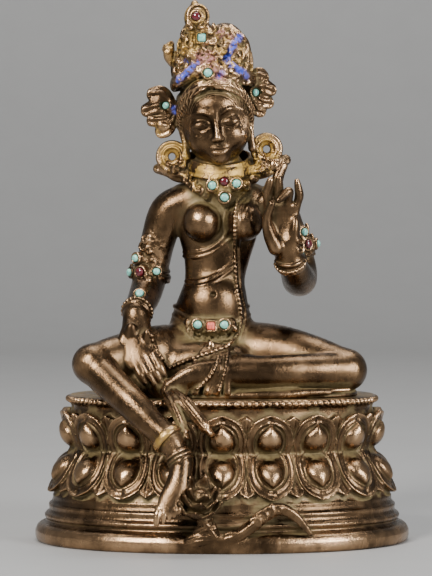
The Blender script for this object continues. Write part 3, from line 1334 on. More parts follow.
# Lines of the face: across, up from the eyes, and radius
BROW = [(1.7, 3.0, 0.3), (3.4, 4.0, 0.48), (6.0, 4.3, 0.44), (8.9, 2.9, 0.25)]
POUCH = [(2.0, -1.0, 0.35), (4.5, -2.3, 0.4), (7.0, -1.0, 0.3)]
LID = [(1.7, -0.2, 0.24), (4.5, -1.35, 0.3), (7.4, -0.2, 0.22)]
LID_CREASE = [(1.7, 0.8, 0.2), (4.5, 2.0, 0.24), (7.6, 0.7, 0.18)]
LIP_GROOVE = [(0, -6.0, 0.28), (0, -6.9, 0.32)]
UPPER_LIP = [(-3.1, -7.8, 0.25), (-1.4, -7.4, 0.5), (0, -7.55, 0.45), (1.4, -7.4, 0.5), (3.1, -7.8, 0.25)]
LOWER_LIP = [(-2.5, -8.6, 0.3), (-1.1, -9.0, 0.6), (0, -9.1, 0.62), (1.1, -9.0, 0.6), (2.5, -8.6, 0.3)]
MOUTH = [(-3.5, -7.8, 0.2), (-1.6, -8.1, 0.22), (0, -8.2, 0.22), (1.6, -8.1, 0.22), (3.5, -7.8, 0.2)]
# An ear from its top to its lobe, and the ridge of the nose, in head coordinates
EAR = [
    (9.8, -2.4, 2.2, 1.0), (11.0, -0.8, 2.6, 1.0), (11.2, -0.4, -1, 0.9), (10.6, -1.2, -5, 1.0),
    (10.6, -1.6, -9.4, 1.5),
]
NOSE_RIDGE = [(0, -10.8, 3.2, 0.9), (0, -11.5, 0.4, 0.9), (0, -12.5, -2.6, 1.0), (0, -13.0, -4.2, 1.25)]
# The lower face, the forehead, the chin and the muzzle: centre, radii and blend
FACE_FORMS = [
    ((0, -2.6, -4.4), (9.3, 8.4, 8.4), 2.5), ((0, -4.0, 5.4), (9.0, 7.4, 6.4), 2),
    ((0, -8.2, -10.8), (2.9, 2.4, 2.2), 2.2), ((0, -9.2, -8.0), (3.8, 2.3, 2.6), 1.6),
]


def head(clay):
    """The neck with its two creases, the face, the ears and the hair."""
    clay.add(strand([(-1.2, -0.8, 64, 6.2), (-1.5, -1.6, 74, 5.5), (-1.8, -2.4, 80, 5.6)], per_span=4), 1.5)
    for level in (72.2, 74.6):
        clay.cut(ring((-1.4, -1.4, level), (0.1, 0.15, 1), 6.0, 0.3), 0.3)
    face = Clay((-15.5, -22, 68), (12, 10, 104), clay.cell, SEAT)
    face.add(head_egg((0, 0, 1.0), (10.8, 10.8, 12.4)))
    for centre, radii, blend in FACE_FORMS:
        face.add(head_egg(centre, radii), blend)
    for way in (-1, 1):
        face.add(head_egg((way * 4.9, -7.0, -4.6), (3.8, 3.2, 3.6)), 2.4)
        face.cut(head_egg((way * 4.4, -13.6, 0.6), (3.6, 2.7, 2.2)), 2.2)
        face.add(head_egg((way * 4.5, -8.7, 0.0), (3.3, 2.4, 2.3)), 0.7)
    face.add(strand(on_head(NOSE_RIDGE), per_span=5), 2.0)
    for way in (-1, 1):
        face.add(head_egg((way * 1.3, -12.0, -4.7), (0.9, 1.2, 0.8)), 0.5)
        face.cut(head_egg((way * 0.75, -12.7, -5.7), (0.38, 0.6, 0.35)), 0.15)
    for brow in both_sides(BROW):
        face.add(on_face(face, brow, -0.1), 0.75)
    for pouch in both_sides(POUCH):
        face.add(on_face(face, pouch, 0.1), 0.4)
    for lid in both_sides(LID):
        face.cut(on_face(face, lid, 0.0), 0.1)
    for crease in both_sides(LID_CREASE):
        face.cut(on_face(face, crease, 0.0), 0.25)
    face.cut(on_face(face, LIP_GROOVE, 0.0), 0.3)
    face.add(on_face(face, UPPER_LIP, 0.1), 0.4)
    face.add(on_face(face, LOWER_LIP, 0.2), 0.4)
    face.cut(on_face(face, MOUTH, 0.0), 0.1)
    clay.join(face, 0.8)
    for ear in both_sides(EAR):
        clay.add(strand(on_head(ear)), 0.5)
    hair(clay)


# The two rolls of hair, each from the parting over the temple to the ear
HAIR_ROLLS = [
    [(-4.2, -15.0, 98.6, 1.2, 1.0), (-7.8, -14.2, 97.2, 2.1, 1.2), (-11.2, -11.2, 93.8, 2.2, 1.3),
     (-13.2, -7.4, 89.4, 1.8, 1.3), (-13.2, -4.6, 85.4, 1.0, 0.9)],
    [(-4.2, -15.0, 98.6, 1.2, 1.0), (0.2, -14.5, 98.5, 2.1, 1.2), (4.6, -11.8, 96.4, 2.2, 1.3),
     (8.2, -7.6, 92.0, 1.8, 1.3), (9.4, -4.8, 87.6, 1.0, 0.9)],
]
# The upper and lower border of each roll, in pixels
ROLL_BORDERS = (
    ([(213, 84), (199, 85), (186, 92), (175, 106)], [(213, 91), (202, 95), (191, 104), (184, 117)]),
    ([(216, 84), (232, 86), (246, 94), (255, 108)], [(216, 91), (228, 94), (240, 102), (247, 114)]),
)
# Locks of the high knot, in pixels
KNOT_LOCKS = (
    [(216, 28), (225, 34), (230, 43), (231, 54)], [(224, 27), (233, 34), (239, 46), (241, 60)],
    [(231, 27), (240, 37), (245, 50), (246, 64)], [(238, 33), (246, 42), (249, 56), (250, 68)],
    [(222, 36), (226, 44), (224, 56)], [(236, 54), (242, 66), (243, 74)],
)


def hair(clay):
    """Combed back in rolls from a parting, a high knot over the crown, and a fall down the back."""
    combed = (lambda x, y, z: 0.15 * np.cos(26 * z))
    clay.add(egg((-3.0, 1.2, 89.6), (12.4, 11.0, 13.0), (0, -0.1, 0), combed), 1)
    for roll in HAIR_ROLLS:
        clay.add(strand(roll, side=UP, relief=flutes(0.12, 9, 3)), 0.7)
    for outer, inner in ROLL_BORDERS:
        for share in (0.15, 0.55, 0.95):
            raised_line(clay, np.array(outer) * (1 - share) + np.array(inner) * share, 0.42, 0.15, -0.1)
    clay.add(egg((0.6, 1.2, 106.4), (8.3, 8.1, 12.1), (0, 0.05, 0)), 0.6)
    for line in KNOT_LOCKS:
        raised_line(clay, line, 0.9, 0.4)
    clay.add(strand([(-2, 8.0, 88, 8.6, 3.4), (-1, 9.0, 66, 6.8, 2.6), (-1.2, 8.6, 52, 3.4, 1.4)],
                    relief=flutes(0.25, 16)), 0.8)


# The crown band's two corded edges, in pixels
CROWN_RIMS = [
    [(177, 86), (186, 80.5), (196, 74.5), (208, 68.5), (219, 71.5), (231, 77.5), (245, 84), (251, 81)],
    [(176, 82), (185, 76), (196, 69.5), (208, 64), (220, 67), (232, 72.5), (246, 78.5)],
]
CROWN_BAND = [
    (-3, 10.4, 99, 2.2, 1.2), (-12.6, 5.6, 99, 2.2, 1.2), (-15.4, -3.6, 98.6, 2.4, 1.2),
    (-11.8, -11.4, 100.8, 2.6, 1.2), (-5, -14.8, 103.8, 2.9, 1.3), (3, -13.2, 102.4, 2.6, 1.2),
    (9, -7, 100.2, 2.4, 1.2), (9.6, 2, 99.6, 2.2, 1.2), (5, 9.2, 99, 2.2, 1.2), (-3, 10.4, 99, 2.2, 1.2),
]
# The crown's leaves: centre, half width, half height and turn
CROWN_LEAVES = [
    ((-13.9, -5.0, 104.6), 3.2, 4.6, (0.05, -0.16, -1.0)),
    ((-10.8, -10.2, 107.4), 3.8, 6.2, (0.1, -0.12, -0.5)),
    ((1.8, -11.6, 106.6), 4.2, 5.4, (0.1, 0.05, 0.35)), ((7.2, -7.2, 104.6), 3.5, 4.8, (0.05, 0.08, 0.95)),
    ((-5.9, -14.4, 109.6), 4.6, 8.6, (0.06, -0.13, -0.08)),
]
CROWN_BUD = [
    (-15.8, -4.8, 105.4, 1.3), (-16.9, -4.8, 107.4, 1.8, 1.5), (-16.8, -4.8, 109.8, 1.9, 1.6),
    (-16.0, -4.8, 111.6, 0.8),
]
# Painted ribbons, in pixels
CROWN_RIBBONS = (
    [(177, 81), (186, 73), (196, 64)], [(225, 58), (234, 66), (246, 75)], [(230, 54), (234, 46), (239, 38)],
)
# Scrolls: the pixel, and radius in millimetres
CROWN_CURLS = [
    (181, 60, 1.5), (178, 72, 1.2), (190, 44, 1.4), (186, 35, 1.3), (212, 42, 1.2), (214, 63, 1.1),
    (205, 57, 1.2), (221, 44, 1.4), (229, 35, 1.3), (237, 60, 1.2), (243, 68, 1.2), (244, 50, 1.3),
    (168, 50, 1.3), (200, 50, 1.0), (194, 31, 1.1), (211, 31, 1.2), (233, 42, 1.1), (241, 40, 1.2),
    (186, 52, 1.3), (182, 46, 1.2), (207, 48, 1.1), (212, 52, 1.0), (198, 58, 1.1), (189, 68, 1.1),
    (200, 70, 1.0), (208, 71, 0.9), (215, 69, 1.0), (224, 73, 1.0), (236, 79, 1.0), (181, 78, 1.0),
    (226, 62, 1.1), (223, 51, 1.0), (217, 36, 1.2), (220, 33, 1.1), (190, 27, 1.0), (207, 36, 1.0),
]
BAND_BEADS = [[(177, 90), (188, 84), (198, 78)], [(218, 76), (230, 82), (244, 88)]]
# Small flowers: the pixel, radius and number of petals
ROSETTES = [((218, 54), 2.1, 6), ((192, 54), 1.7, 5), ((231, 68), 1.3, 5)]
# The finial's loops round its middle pixel: half width, reach below and above it, and the cord's radius
FINIAL_PIXEL = (198, 19)
FINIAL_CORDS = [(7.4, 7.6, 9.4, 0.5), (11.4, 9.8, 13.2, 0.55)]
FINIAL_GROOVE = (9.4, 8.6, 11.3)


def crown(clay, sizes):
    """The gilt crown: a corded band that peaks over the brow, five leaves with scrolls, and a finial."""
    clay.add(strand(CROWN_BAND, side=UP, per_span=4), 0.4)
    clay.add(egg((-3.6, -3.4, 104.6), (12.4, 9.6, 9.0), (0, -0.1, 0)), 1)
    clay.add(egg((-7.0, -8.6, 110.4), (6.4, 6.4, 8.8), (0, -0.2, 0)), 1)
    for centre, wide, high, turn in CROWN_LEAVES:
        crown_leaf(clay, centre, wide, high, turn)
    clay.add(egg((-8.0, -14.3, 118.6), (3.9, 2.6, 4.8), (0, -0.14, 0)), 0.8)
    clay.add(egg((-8.6, -14.2, 123.3), (1.2, 1.3, 1.2)), 0.6)
    for *loop, size in FINIAL_CORDS:
        clay.add(strand([(*p, size) for p in clay.seen(finial_loop(*loop), -0.2)], per_span=3), 0.15)
    clay.cut(strand([(*p, 0.42) for p in clay.seen(finial_loop(*FINIAL_GROOVE))], per_span=3), 0.15)
    clay.add(strand(CROWN_BUD, relief=flutes(0.2, 5)), 0.5)
    for rim in CROWN_RIMS:
        path = clay.seen(along_pixels(rim), -0.1)
        clay.add(strand([(*p, 0.6) for p in path[::4]], per_span=5,
                        relief=flutes(0.16, 2, 120)), 0.15)
    beads_along(clay, BAND_BEADS, 0.1, sizes.bead / MM / 2 * 0.85)
    for ribbon in CROWN_RIBBONS:
        path = clay.seen(along_pixels(ribbon), -0.2)
        clay.add(strand([(*p, 0.9, 0.6) for p in path[::5]], side=UP, per_span=4), 0.3)
    for flower in ROSETTES:
        rosette(clay, *flower)
    curls(clay, CROWN_CURLS)


def finial_loop(wide, foot, top):
    """A loop round the finial that narrows to its foot, in pixels."""
    u, v = FINIAL_PIXEL
    loop = []
    for a in np.linspace(0.45, 2 * np.pi - 0.45, 15):
        high = foot if math.cos(a) > 0 else top
        loop.append((u + wide * math.sin(a) * (1 - 0.25 * math.cos(a / 2) ** 2), v + high * math.cos(a)))
    return loop


def crown_leaf(clay, centre, wide, high, turn):
    """A leaf of the crown: a thin plate with a raised edge and a midrib."""
    narrowing = (lambda share: np.sqrt(np.clip(1 - (share - 0.3) ** 2 * 1.9, 0.02, 1)))
    clay.add(slab((wide, 0.8, high), centre, turn, 0.5, narrowing), 0.4)
    matrix = spin(turn)
    edge = []
    for share in np.linspace(0.02, 0.98, 9):
        edge.append((wide * 0.86 * float(narrowing(np.array(share))), -0.9, (share * 2 - 1) * high * 0.95))
    edge = [(-x, y, z) for x, y, z in edge] + edge[::-1]
    clay.add(strand([(*(matrix @ p + centre), 0.42) for p in edge], per_span=2), 0.15)
    rib = [matrix @ (0, -1.0, share * high) + centre for share in (-0.8, 0, 0.85)]
    clay.add(strand([(*p, size) for p, size in zip(rib, (0.9, 0.7, 0.3))]), 0.2)


def along_pixels(points, per_span=7):
    """A smooth line of photograph pixels."""
    return along([(*p, 0, 0, 0) for p in points], per_span)[:, :2]


def beads_along(clay, lines, sink, radius, gap=1.0, blend=0.1):
    """Beads on the surface that shows along lines of pixels."""
    string_beads(clay, [clay.seen(along_pixels(line), sink) for line in lines], radius, gap, blend)


def rosette(clay, pixel, radius, petals):
    """A small flower on the surface that shows at a pixel."""
    x, y, z = clay.seen([pixel])[0]
    for i in range(petals):
        a = i / petals * 2 * np.pi
        clay.add(egg((x + radius * 0.72 * math.cos(a), y, z + radius * 0.72 * math.sin(a)),
                     (radius * 0.4, 0.55, radius * 0.4)), 0.1)
    clay.add(egg((x, y - 0.3, z), (radius * 0.38, 0.7, radius * 0.38)), 0.1)


# The pixel column left and right of which the scrolls turn opposite ways
CURL_MIDDLE = 208


def curls(clay, places):
    """Small scrolls on the surface that shows at pixels, each given by its pixel and radius."""
    turns = np.linspace(0.4, 2 * np.pi * 1.15, 8)
    for u, v, radius in places:
        reach = radius * 0.16 / PIXEL * (1 if u > CURL_MIDDLE else -1)
        line = [(u + reach * a * math.cos(a), v - abs(reach) * a * math.sin(a)) for a in turns]
        path = clay.seen([(u, v), *line], -0.12)
        path[1:, 1] = np.clip(path[1:, 1], path[0, 1] - 1.3, path[0, 1] + 1.3)
        clay.add(strand([(*p, 0.36 + 0.035 * a) for p, a in zip(path[1:], turns)], per_span=3), 0.12)


# The bows' lobes, each from its root over its middle to its end
RIGHT_BOW = [
    [(-15.2, -3.0, 91.2), (-19.0, -4.0, 95.2), (-22.4, -3.6, 95.2)],
    [(-15.6, -3.4, 90.4), (-20.2, -4.8, 91.4), (-24.2, -4.0, 90.0)],
    [(-15.4, -3.2, 89.4), (-19.0, -4.8, 87.2), (-22.4, -4.0, 87.0)],
    [(-15.2, -3.4, 88.6), (-17.4, -4.6, 84.4), (-19.6, -4.4, 83.2)],
]
LEFT_BOW = [
    [(8.8, -1.6, 97.8), (11.4, -2.8, 101.2), (13.2, -2.4, 100.6)],
    [(9.0, -1.8, 97.4), (13.0, -3.0, 97.6), (15.6, -2.4, 96.6)],
    [(8.8, -1.8, 96.6), (12.6, -3.0, 93.4), (14.8, -2.4, 92.6)],
    [(8.6, -1.8, 96.0), (11.0, -2.8, 91.2), (12.2, -2.6, 89.8)],
]
# The earrings' centres, and the way each is turned
EARRINGS = [(-15.9, -3.4, 75.6, 1), (14.2, -3.0, 78.0, -1)]
SHOULDER_RIBBONS = (
    [(-20.6, -1.0, 71.8, 1.4), (-17, -2.0, 71.2, 2.0), (-13, -2.6, 70.0, 2.8, 2.2),
     (-7, -3.4, 70.0, 2.4, 2.0)],
    [(20.4, -1.0, 74.6, 1.6), (17.2, -2.2, 73.4, 2.2), (13.4, -3.0, 71.4, 2.8, 2.2),
     (6, -4, 70.2, 2.4, 2.0)],
)
# Scrolls on the shoulders: the pixel and radius
SHOULDER_CURLS = [
    (264, 163, 1.3), (270, 158, 1.1), (256, 160, 1.2), (183, 165, 1.1), (176, 170, 1.1), (260, 170, 1.1),
]


def ear_ornaments(clay):
    """Pleated ribbon bows beside the ears, gilt hoops in the lobes, and gilt ribbons on the shoulders."""
    for root, middle, end in RIGHT_BOW + LEFT_BOW:
        lobe = [(*root, 1.4), (*middle, 2.5, 1.6), (*end, 2.1, 1.4)]
        clay.add(strand(lobe, side=UP, relief=flutes(0.3, 5)), 0.5)
        x, y, z = end
        clay.add(ring((x + 0.1, y - 1.1, z), (0, 1, 0.1), 1.3, 0.45), 0.15)
    clay.add(egg((-19.2, -5.0, 85.4), (2.1, 1.8, 2.0)), 0.3)
    for x, y, z, way in EARRINGS:
        axis = (0.15 * way, 1, 0)
        clay.add(ring((x, y, z), axis, 3.2, 2.1, 1.4), 0.3)
        clay.add(ring((x, y - 1.1, z), axis, 4.6, 0.5), 0.1)
        clay.add(ring((x, y - 1.7, z), axis, 3.0, 0.42), 0.1)
    for path in SHOULDER_RIBBONS:
        clay.add(strand(path, relief=flutes(0.22, 6, 4)), 0.5)
    curls(clay, SHOULDER_CURLS)


# Edges of the bodice, in pixels
BODICE_EDGES = (
    [(184, 252), (197, 252.5), (211, 248.5), (222, 240), (231, 230)],
    [(184, 256), (198, 257), (212, 253), (223, 245), (233, 236)],
    [(186, 281), (199, 281.5), (212, 277), (223, 270), (233, 262)],
    [(186, 285.5), (200, 286), (213, 282), (224, 275), (233, 268)],
)
# Folds of the shawl, in pixels
SHAWL_FOLDS = (
    [(238, 186), (233, 193), (229, 202), (229, 212)], [(243, 185), (238, 192), (233, 202), (232, 214)],
    [(252, 184), (246, 193), (240, 205), (239, 220)],
    [(257, 190), (252, 198), (247, 208), (244, 222), (243, 236)],
    [(262, 196), (257, 204), (252, 213), (249, 222)],
)
# The shawl's two edges and the skirt's two, in pixels. The second is without beads.
EDGES = [
    [(250, 188), (241, 197), (235.5, 210), (234.5, 228), (235, 250), (235.5, 270), (237, 290), (240.5, 308),
     (241, 322), (237, 336), (226, 347)],
    [(253.5, 190), (245, 199), (239.8, 211), (238.8, 228), (239.2, 250), (239.8, 270), (241.2, 290),
     (244.8, 307), (245.4, 323), (241, 338), (230, 350)],
    [(226, 347), (212, 352), (198, 356.5), (184, 362), (169, 368.5)],
    [(151.5, 336), (155, 346), (161, 357), (169, 368.5)],
]
# Pleats below the knee, in pixels
PLEATS = [
    [(218, 357), (215, 368), (208, 379), (197, 389)], [(227, 357), (225, 370), (222, 382), (219, 391)],
    [(221, 358), (219, 371), (214, 383), (208, 392)],
]


def garments(clay, sizes):
    """Edges of the bodice, folds of the shawl, beaded edges of the shawl and skirt, and pleats."""
    for line in BODICE_EDGES:
        raised_line(clay, line, 0.62, 0.4)
    for line in SHAWL_FOLDS:
        raised_line(clay, line, 0.85, 0.6, 0.45)
    bead = sizes.bead / MM / 2
    for line in EDGES:
        raised_line(clay, line, 0.5, 0.5)
    beads_along(clay, (EDGES[0], *EDGES[2:]), -0.3, bead, 1.1, 0.05)
    for line in PLEATS:
        raised_line(clay, line, 0.5, 0.4)
    beads_along(clay, PLEATS[:2], -0.2, bead * 0.85, 1.1, 0.05)


def raised_line(clay, pixels, size, blend, sink=0.05):
    """A fold laid on the surface that shows along pixels of the photograph."""
    path = clay.seen(along_pixels(pixels), sink)
    clay.add(strand([(*p, size) for p in path[::3]] + [(*path[-1], size * 0.6)], per_span=3), blend)


# The chain, the beads under it, and the scrolls with their radii, in pixels
CHAIN = [(186, 178), (194, 186), (203, 190), (213, 187), (223, 187), (236, 185), (246, 182), (256, 178)]
NECKLACE_CURLS = [
    (199, 187, 1.7), (206, 194, 1.5), (194, 180, 1.4), (246, 187, 1.4), (231, 191, 1.1), (215, 191, 1.1),
]
NECKLACE_BEADS = [[(184, 181), (192, 189), (203, 194), (214, 191)], [(232, 191), (241, 190), (250, 186)]]
DROP_PIXEL = (223.5, 194)
PENDANT_PIXEL = (206, 196)


def necklace(clay, sizes):
    """The gilt collar under the chin, and the necklace of collets, drop and scrolls on the chest."""
    collar = []
    for turn in np.linspace(-2.6, 2.6, 13):
        lift = 1 - math.cos(turn)
        x = -0.8 + (9.2 + 0.5 * lift) * math.sin(turn)
        collar.append((x, -1 - 8.2 * math.cos(turn), 70.6 + 3.0 * lift, 2.3, 1.2))
    clay.add(strand(collar, side=(0, 0.4, 1), per_span=4), 0.6)
    clay.add(loft([(63.5, -0.8, 0.2, 11.5, 7.4), (67.5, -0.8, -0.8, 10.2, 8.2),
                   (70.0, -1.0, -1.0, 9.4, 7.9), (73.4, -1.2, -1.4, 8.4, 7.2),
                   (77.0, -1.5, -1.6, 6.0, 6.0)]), 1)
    for lift, out in ((-2.0, 1.12), (1.9, 1.02)):
        clay.add(strand([(x * out, y * out, z + lift, 0.5) for x, y, z, *_ in collar], per_span=4), 0.3)
    raised_line(clay, CHAIN, 1.5, 0.5)
    beads_along(clay, NECKLACE_BEADS, 0, sizes.bead / MM / 2, 1.05, 0.05)
    x, y, z = clay.seen([DROP_PIXEL])[0]
    drop = [(x, y - 0.6, z + 2.0, 2.1, 1.4), (x, y - 0.9, z - 1.0, 2.2, 1.5), (x, y - 0.7, z - 3.6, 0.6)]
    clay.add(strand(drop, per_span=4), 0.8)
    curls(clay, NECKLACE_CURLS)
    clay.add(egg(clay.seen([PENDANT_PIXEL])[0], (1.2, 1.0, 1.3)), 0.2)


# The belt's festoons, in pixels
FESTOONS = (
    [(186, 328), (190, 337), (199, 342), (206, 336), (211, 343), (217, 336), (225, 341), (233, 334),
     (235, 327)],
    [(190, 326), (197, 333), (205, 331), (212, 335), (219, 331), (226, 333), (232, 326)],
)
# Scrolls under the belt: the pixel and radius
BELT_CURLS = [
    (198, 336, 2.2), (225, 335, 2.2), (211, 338, 1.4), (205, 341, 1.0), (218, 341, 1.0), (190, 331, 0.9),
    (233, 330, 0.9),
]
BELT_DROP_PIXEL = (211, 346)


def belt(clay):
    """The girdle: double ridges at the hips, a clasp with three stones, and festoons of scrolls under it."""
    for lift, size in [(0, 0.75), (-2.6, 0.55)]:
        round_hips = []
        for turn in np.linspace(-2.9, 2.9, 23):
            level = 28.0 + lift - 4.2 * math.exp(-(turn / 0.85) ** 2)
            a, b = np.interp(level, [20, 27], [14.2, 12.2]), np.interp(level, [20, 27], [10.5, 9.6])
            x, y = -3.4 + (a - 0.5) * math.sin(turn), 0.3 - (b + 0.1) * math.cos(turn)
            round_hips.append((x, y, level, size))
        clay.add(strand(round_hips, per_span=3), 0.3)
    clasp = [(-10.8, -8.8, 22.2, 2.4, 1.5), (-3.6, -10.4, 21.6, 2.8, 1.7), (3.2, -9.6, 22.2, 2.4, 1.5)]
    clay.add(strand(clasp, side=UP, per_span=5), 0.5)
    for line in FESTOONS:
        raised_line(clay, line, 0.5, 0.25)
    curls(clay, BELT_CURLS)
    x, y, z = clay.seen([BELT_DROP_PIXEL])[0]
    clay.add(egg((x, y, z), (1.2, 0.9, 1.7)), 0.25)
    clay.add(egg((x, y, z - 2.2), (0.7, 0.7, 0.9)), 0.2)


# Hoops of armlets and bracelets: centre, a point that the axis goes to, radius and thickness
ARM_HOOPS = [
    ((-22.9, 4.9, 38.0), (-21.8, 4.2, 43.0), 5.9, 0.8), ((-22.6, 4.7, 40.4), (-21.8, 4.2, 43.0), 5.8, 0.5),
    ((22.6, 5.0, 48.6), (23.4, 5.6, 46.0), 5.75, 0.6), ((23.5, 5.6, 45.4), (23.4, 5.9, 43.0), 5.8, 0.75),
    ((-26.6, -13.2, 27.0), (-27.2, -16.6, 25.6), 4.5, 0.5),
    ((-26.9, -15.4, 26.1), (-27.2, -17.0, 25.4), 4.3, 0.45),
    ((21.9, -11.2, 41.4), (21.1, -13.8, 44.4), 4.5, 0.5),
    ((21.4, -12.6, 43.3), (21.1, -14.0, 45.6), 4.4, 0.45),
]
# Rings of beads: centre, a point that the axis goes to, and radius
BEADED_HOOPS = [
    ((-26.75, -14.3, 26.5), (-27.2, -16.6, 25.6), 4.8), ((21.6, -11.9, 42.3), (21.1, -13.8, 44.4), 4.9),
    ((-23.0, 5.0, 36.8), (-21.8, 4.2, 43.0), 6.0), ((23.6, 5.7, 44.2), (23.4, 5.6, 48.0), 6.1),
]
# The leaf over the right armlet, in pixels, and the scrolls with their radii
ARMLET_LEAF = (
    [(138, 281), (137, 270), (141, 256), (146, 243), (148, 236)],
    [(155, 281), (156, 270), (152, 256), (149, 244), (148, 236)],
)
ARMLET_CURLS = [
    (146, 240, 1.1), (144, 247, 1.3), (149.5, 250, 1.2), (147, 264, 1.2), (154, 262, 1.1), (149, 278, 1.0),
    (134, 268, 1.0), (299, 240, 1.1), (309, 238, 1.1), (299, 250, 1.0), (310, 250, 1.0), (304, 228, 1.2),
]


def armlets(clay, sizes):
    """The armlets and bracelets with their corded edges, and the leaf over the right armlet."""
    for centre, towards, radius, thick in ARM_HOOPS:
        axis = np.subtract(towards, centre)
        clay.add(ring(centre, axis, radius, thick, thick * 1.3), 0.3)
    turns = np.linspace(0, 2 * np.pi, 41)
    strings = [circle(centre, np.subtract(towards, centre), radius, turns)
               for centre, towards, radius in BEADED_HOOPS]
    string_beads(clay, strings, sizes.bead / MM / 2 * 0.9, 1.05, 0.05)
    for line in ARMLET_LEAF:
        raised_line(clay, line, 0.55, 0.3)
    curls(clay, ARMLET_CURLS)


# The stones and their settings

FRONT = (0, -1, 0)


def round_arm(degrees):
    turn = math.radians(degrees)
    return (math.sin(turn), -math.cos(turn), 0)


# Each stone's kind and the way it faces. Its place and size come from its solid.
STONES = {
    "crown_finial_garnet": ("garnet", (-0.1, -1, 0)), "crown_turquoise": ("square_turquoise", (-0.1, -1, 0)),
    "brow_turquoise": ("turquoise", FRONT),
    "right_ear_turquoise": ("small_turquoise", (-0.5, -0.86, 0)),
    "left_ear_turquoise": ("small_turquoise", (0.5, -0.86, 0)),
    "necklace_right_turquoise": ("turquoise", FRONT), "necklace_garnet": ("garnet", FRONT),
    "necklace_left_turquoise": ("turquoise", FRONT), "necklace_drop_turquoise": ("turquoise", FRONT),
    "right_armlet_outer_turquoise": ("small_turquoise", round_arm(-66)),
    "right_armlet_garnet": ("garnet", round_arm(-27)),
    "right_armlet_inner_turquoise": ("small_turquoise", round_arm(16)),
    "right_armlet_top_turquoise": ("small_turquoise", round_arm(-42)),
    "right_bracelet_turquoise": ("turquoise", (0, -0.75, 0.66)),
    "left_armlet_top_turquoise": ("small_turquoise", round_arm(33)),
    "left_armlet_garnet": ("garnet", round_arm(38)),
    "left_armlet_outer_turquoise": ("small_turquoise", round_arm(84)),
    "left_armlet_low_turquoise": ("small_turquoise", round_arm(24)),
    "belt_right_turquoise": ("turquoise", FRONT), "belt_coral": ("square_coral", FRONT),
    "belt_left_turquoise": ("turquoise", FRONT),
}
STONE_RADII = {"turquoise": 1.35, "small_turquoise": 1.2, "garnet": 1.4, "square_turquoise": 1.3,
               "square_coral": 1.3}
STONE_HEIGHT = 1.3
# How far behind a stone the metal is looked for, and the least depth of a collet
COLLET_REACH = 6.0
COLLET_DEPTH = 1.7


def stone_place(name):
    low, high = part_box(name)
    return np.array((low + high) / 2) / MM


def set_collets(clay, wall, gap):
    """Builds each stone's collet up from the metal behind it and clears the room that the stone fills."""
    settings = []
    for name, (kind, facing) in STONES.items():
        place = stone_place(name) - clay.foot
        back = clay.meet([place], [-np.array(facing)], COLLET_REACH, 0.5)[0]
        deep = max(COLLET_DEPTH, np.linalg.norm(place - back))
        settings.append((place, facing, STONE_RADII[kind], deep, 4 if kind.startswith("square") else 0))
    for place, facing, radius, deep, sides in settings:
        clay.add(drum(place, facing, radius + wall, deep, -0.15, sides), 0.25)
        clay.add(drum(place, facing, radius + wall + 0.3, deep, -1.1, sides), 0.6)
        if not sides:
            clay.add(ring(place - 0.55 * np.array(facing), facing, radius + wall + 0.1, 0.3), 0.15)
    for place, facing, radius, _, sides in settings:
        clay.cut(drum(place, facing, radius + gap, STONE_HEIGHT / 2 + gap, 2.2, sides))


# A stone's outline from its foot to its top: height, and share of its radius
STONE_PROFILE = [
    (-0.65, 0.72), (-0.65, 0.9), (-0.58, 0.97), (-0.3, 1.0), (-0.02, 0.99), (0.18, 0.94), (0.36, 0.82),
    (0.5, 0.64), (0.59, 0.42), (0.64, 0.2),
]


def cabochon(name, kind, facing, seed):
    """A hand-cut stone with a domed top, its outline a little uneven."""
    axis = np.array(facing) / np.linalg.norm(facing)
    first = np.cross(axis, [0, 0, 1])
    first /= np.linalg.norm(first)
    second = np.cross(axis, first)
    random = np.random.default_rng(seed)
    waves = random.uniform(-1, 1, 4)
    radius = STONE_RADII[kind]
    square = kind.startswith("square")
    place = stone_place(name)
    around, rows = 40, []
    for height, share in STONE_PROFILE:
        ring_points = []
        for i in range(around):
            a = i / around * 2 * np.pi
            c, s = math.cos(a), math.sin(a)
            reach = 1 / (abs(c) ** 5 + abs(s) ** 5) ** 0.2 if square else 1.0
            wave = 1 + waves[0] * math.cos(2 * a + waves[1]) + waves[2] * math.cos(3 * a + waves[3])
            uneven = 1 - 0.035 * wave
            out = radius * share * reach * uneven
            ring_points.append(place + first * out * c + second * out * s + axis * height)
        rows.append(ring_points)
    points = [p for r in rows for p in r]
    faces = []
    last = (len(rows) - 1) * around
    for row in range(0, last, around):
        for i in range(around):
            j = (i + 1) % around
            faces.append((row + i, row + around + i, row + around + j, row + j))
    low, high = len(points), len(points) + 1
    points += [place - axis * STONE_HEIGHT / 2, place + axis * STONE_HEIGHT / 2]
    for i in range(around):
        j = (i + 1) % around
        faces += [(low, i, j), (high, last + j, last + i)]
    piece = scratch_mesh("set_" + name, points, faces)
    outward_faces(piece.data)
    piece.data.shade_smooth()
    return piece


def outward_faces(mesh):
    work = bmesh.new()
    work.from_mesh(mesh)
    bmesh.ops.recalc_face_normals(work, faces=work.faces)
    work.to_mesh(mesh)
    work.free()


# Where gilding, paint and deposits lie


def near(points, centres, radius):
    """A share that is 1 at the centres and falls to 0 at the radius."""
    away = np.full(len(points), np.inf)
    for centre in np.atleast_2d(centres):
        away = np.minimum(away, ((points - centre) ** 2).sum(axis=1))
    return np.clip(1.6 * (1 - np.sqrt(away) / radius), 0, 1)


def within(points, centre, radii):
    """A share that is 1 inside an ellipsoid and fades over its outer third."""
    away = np.sqrt((((points - np.array(centre)) / np.array(radii)) ** 2).sum(axis=1))
    return np.clip((1.15 - away) / 0.35, 0, 1)


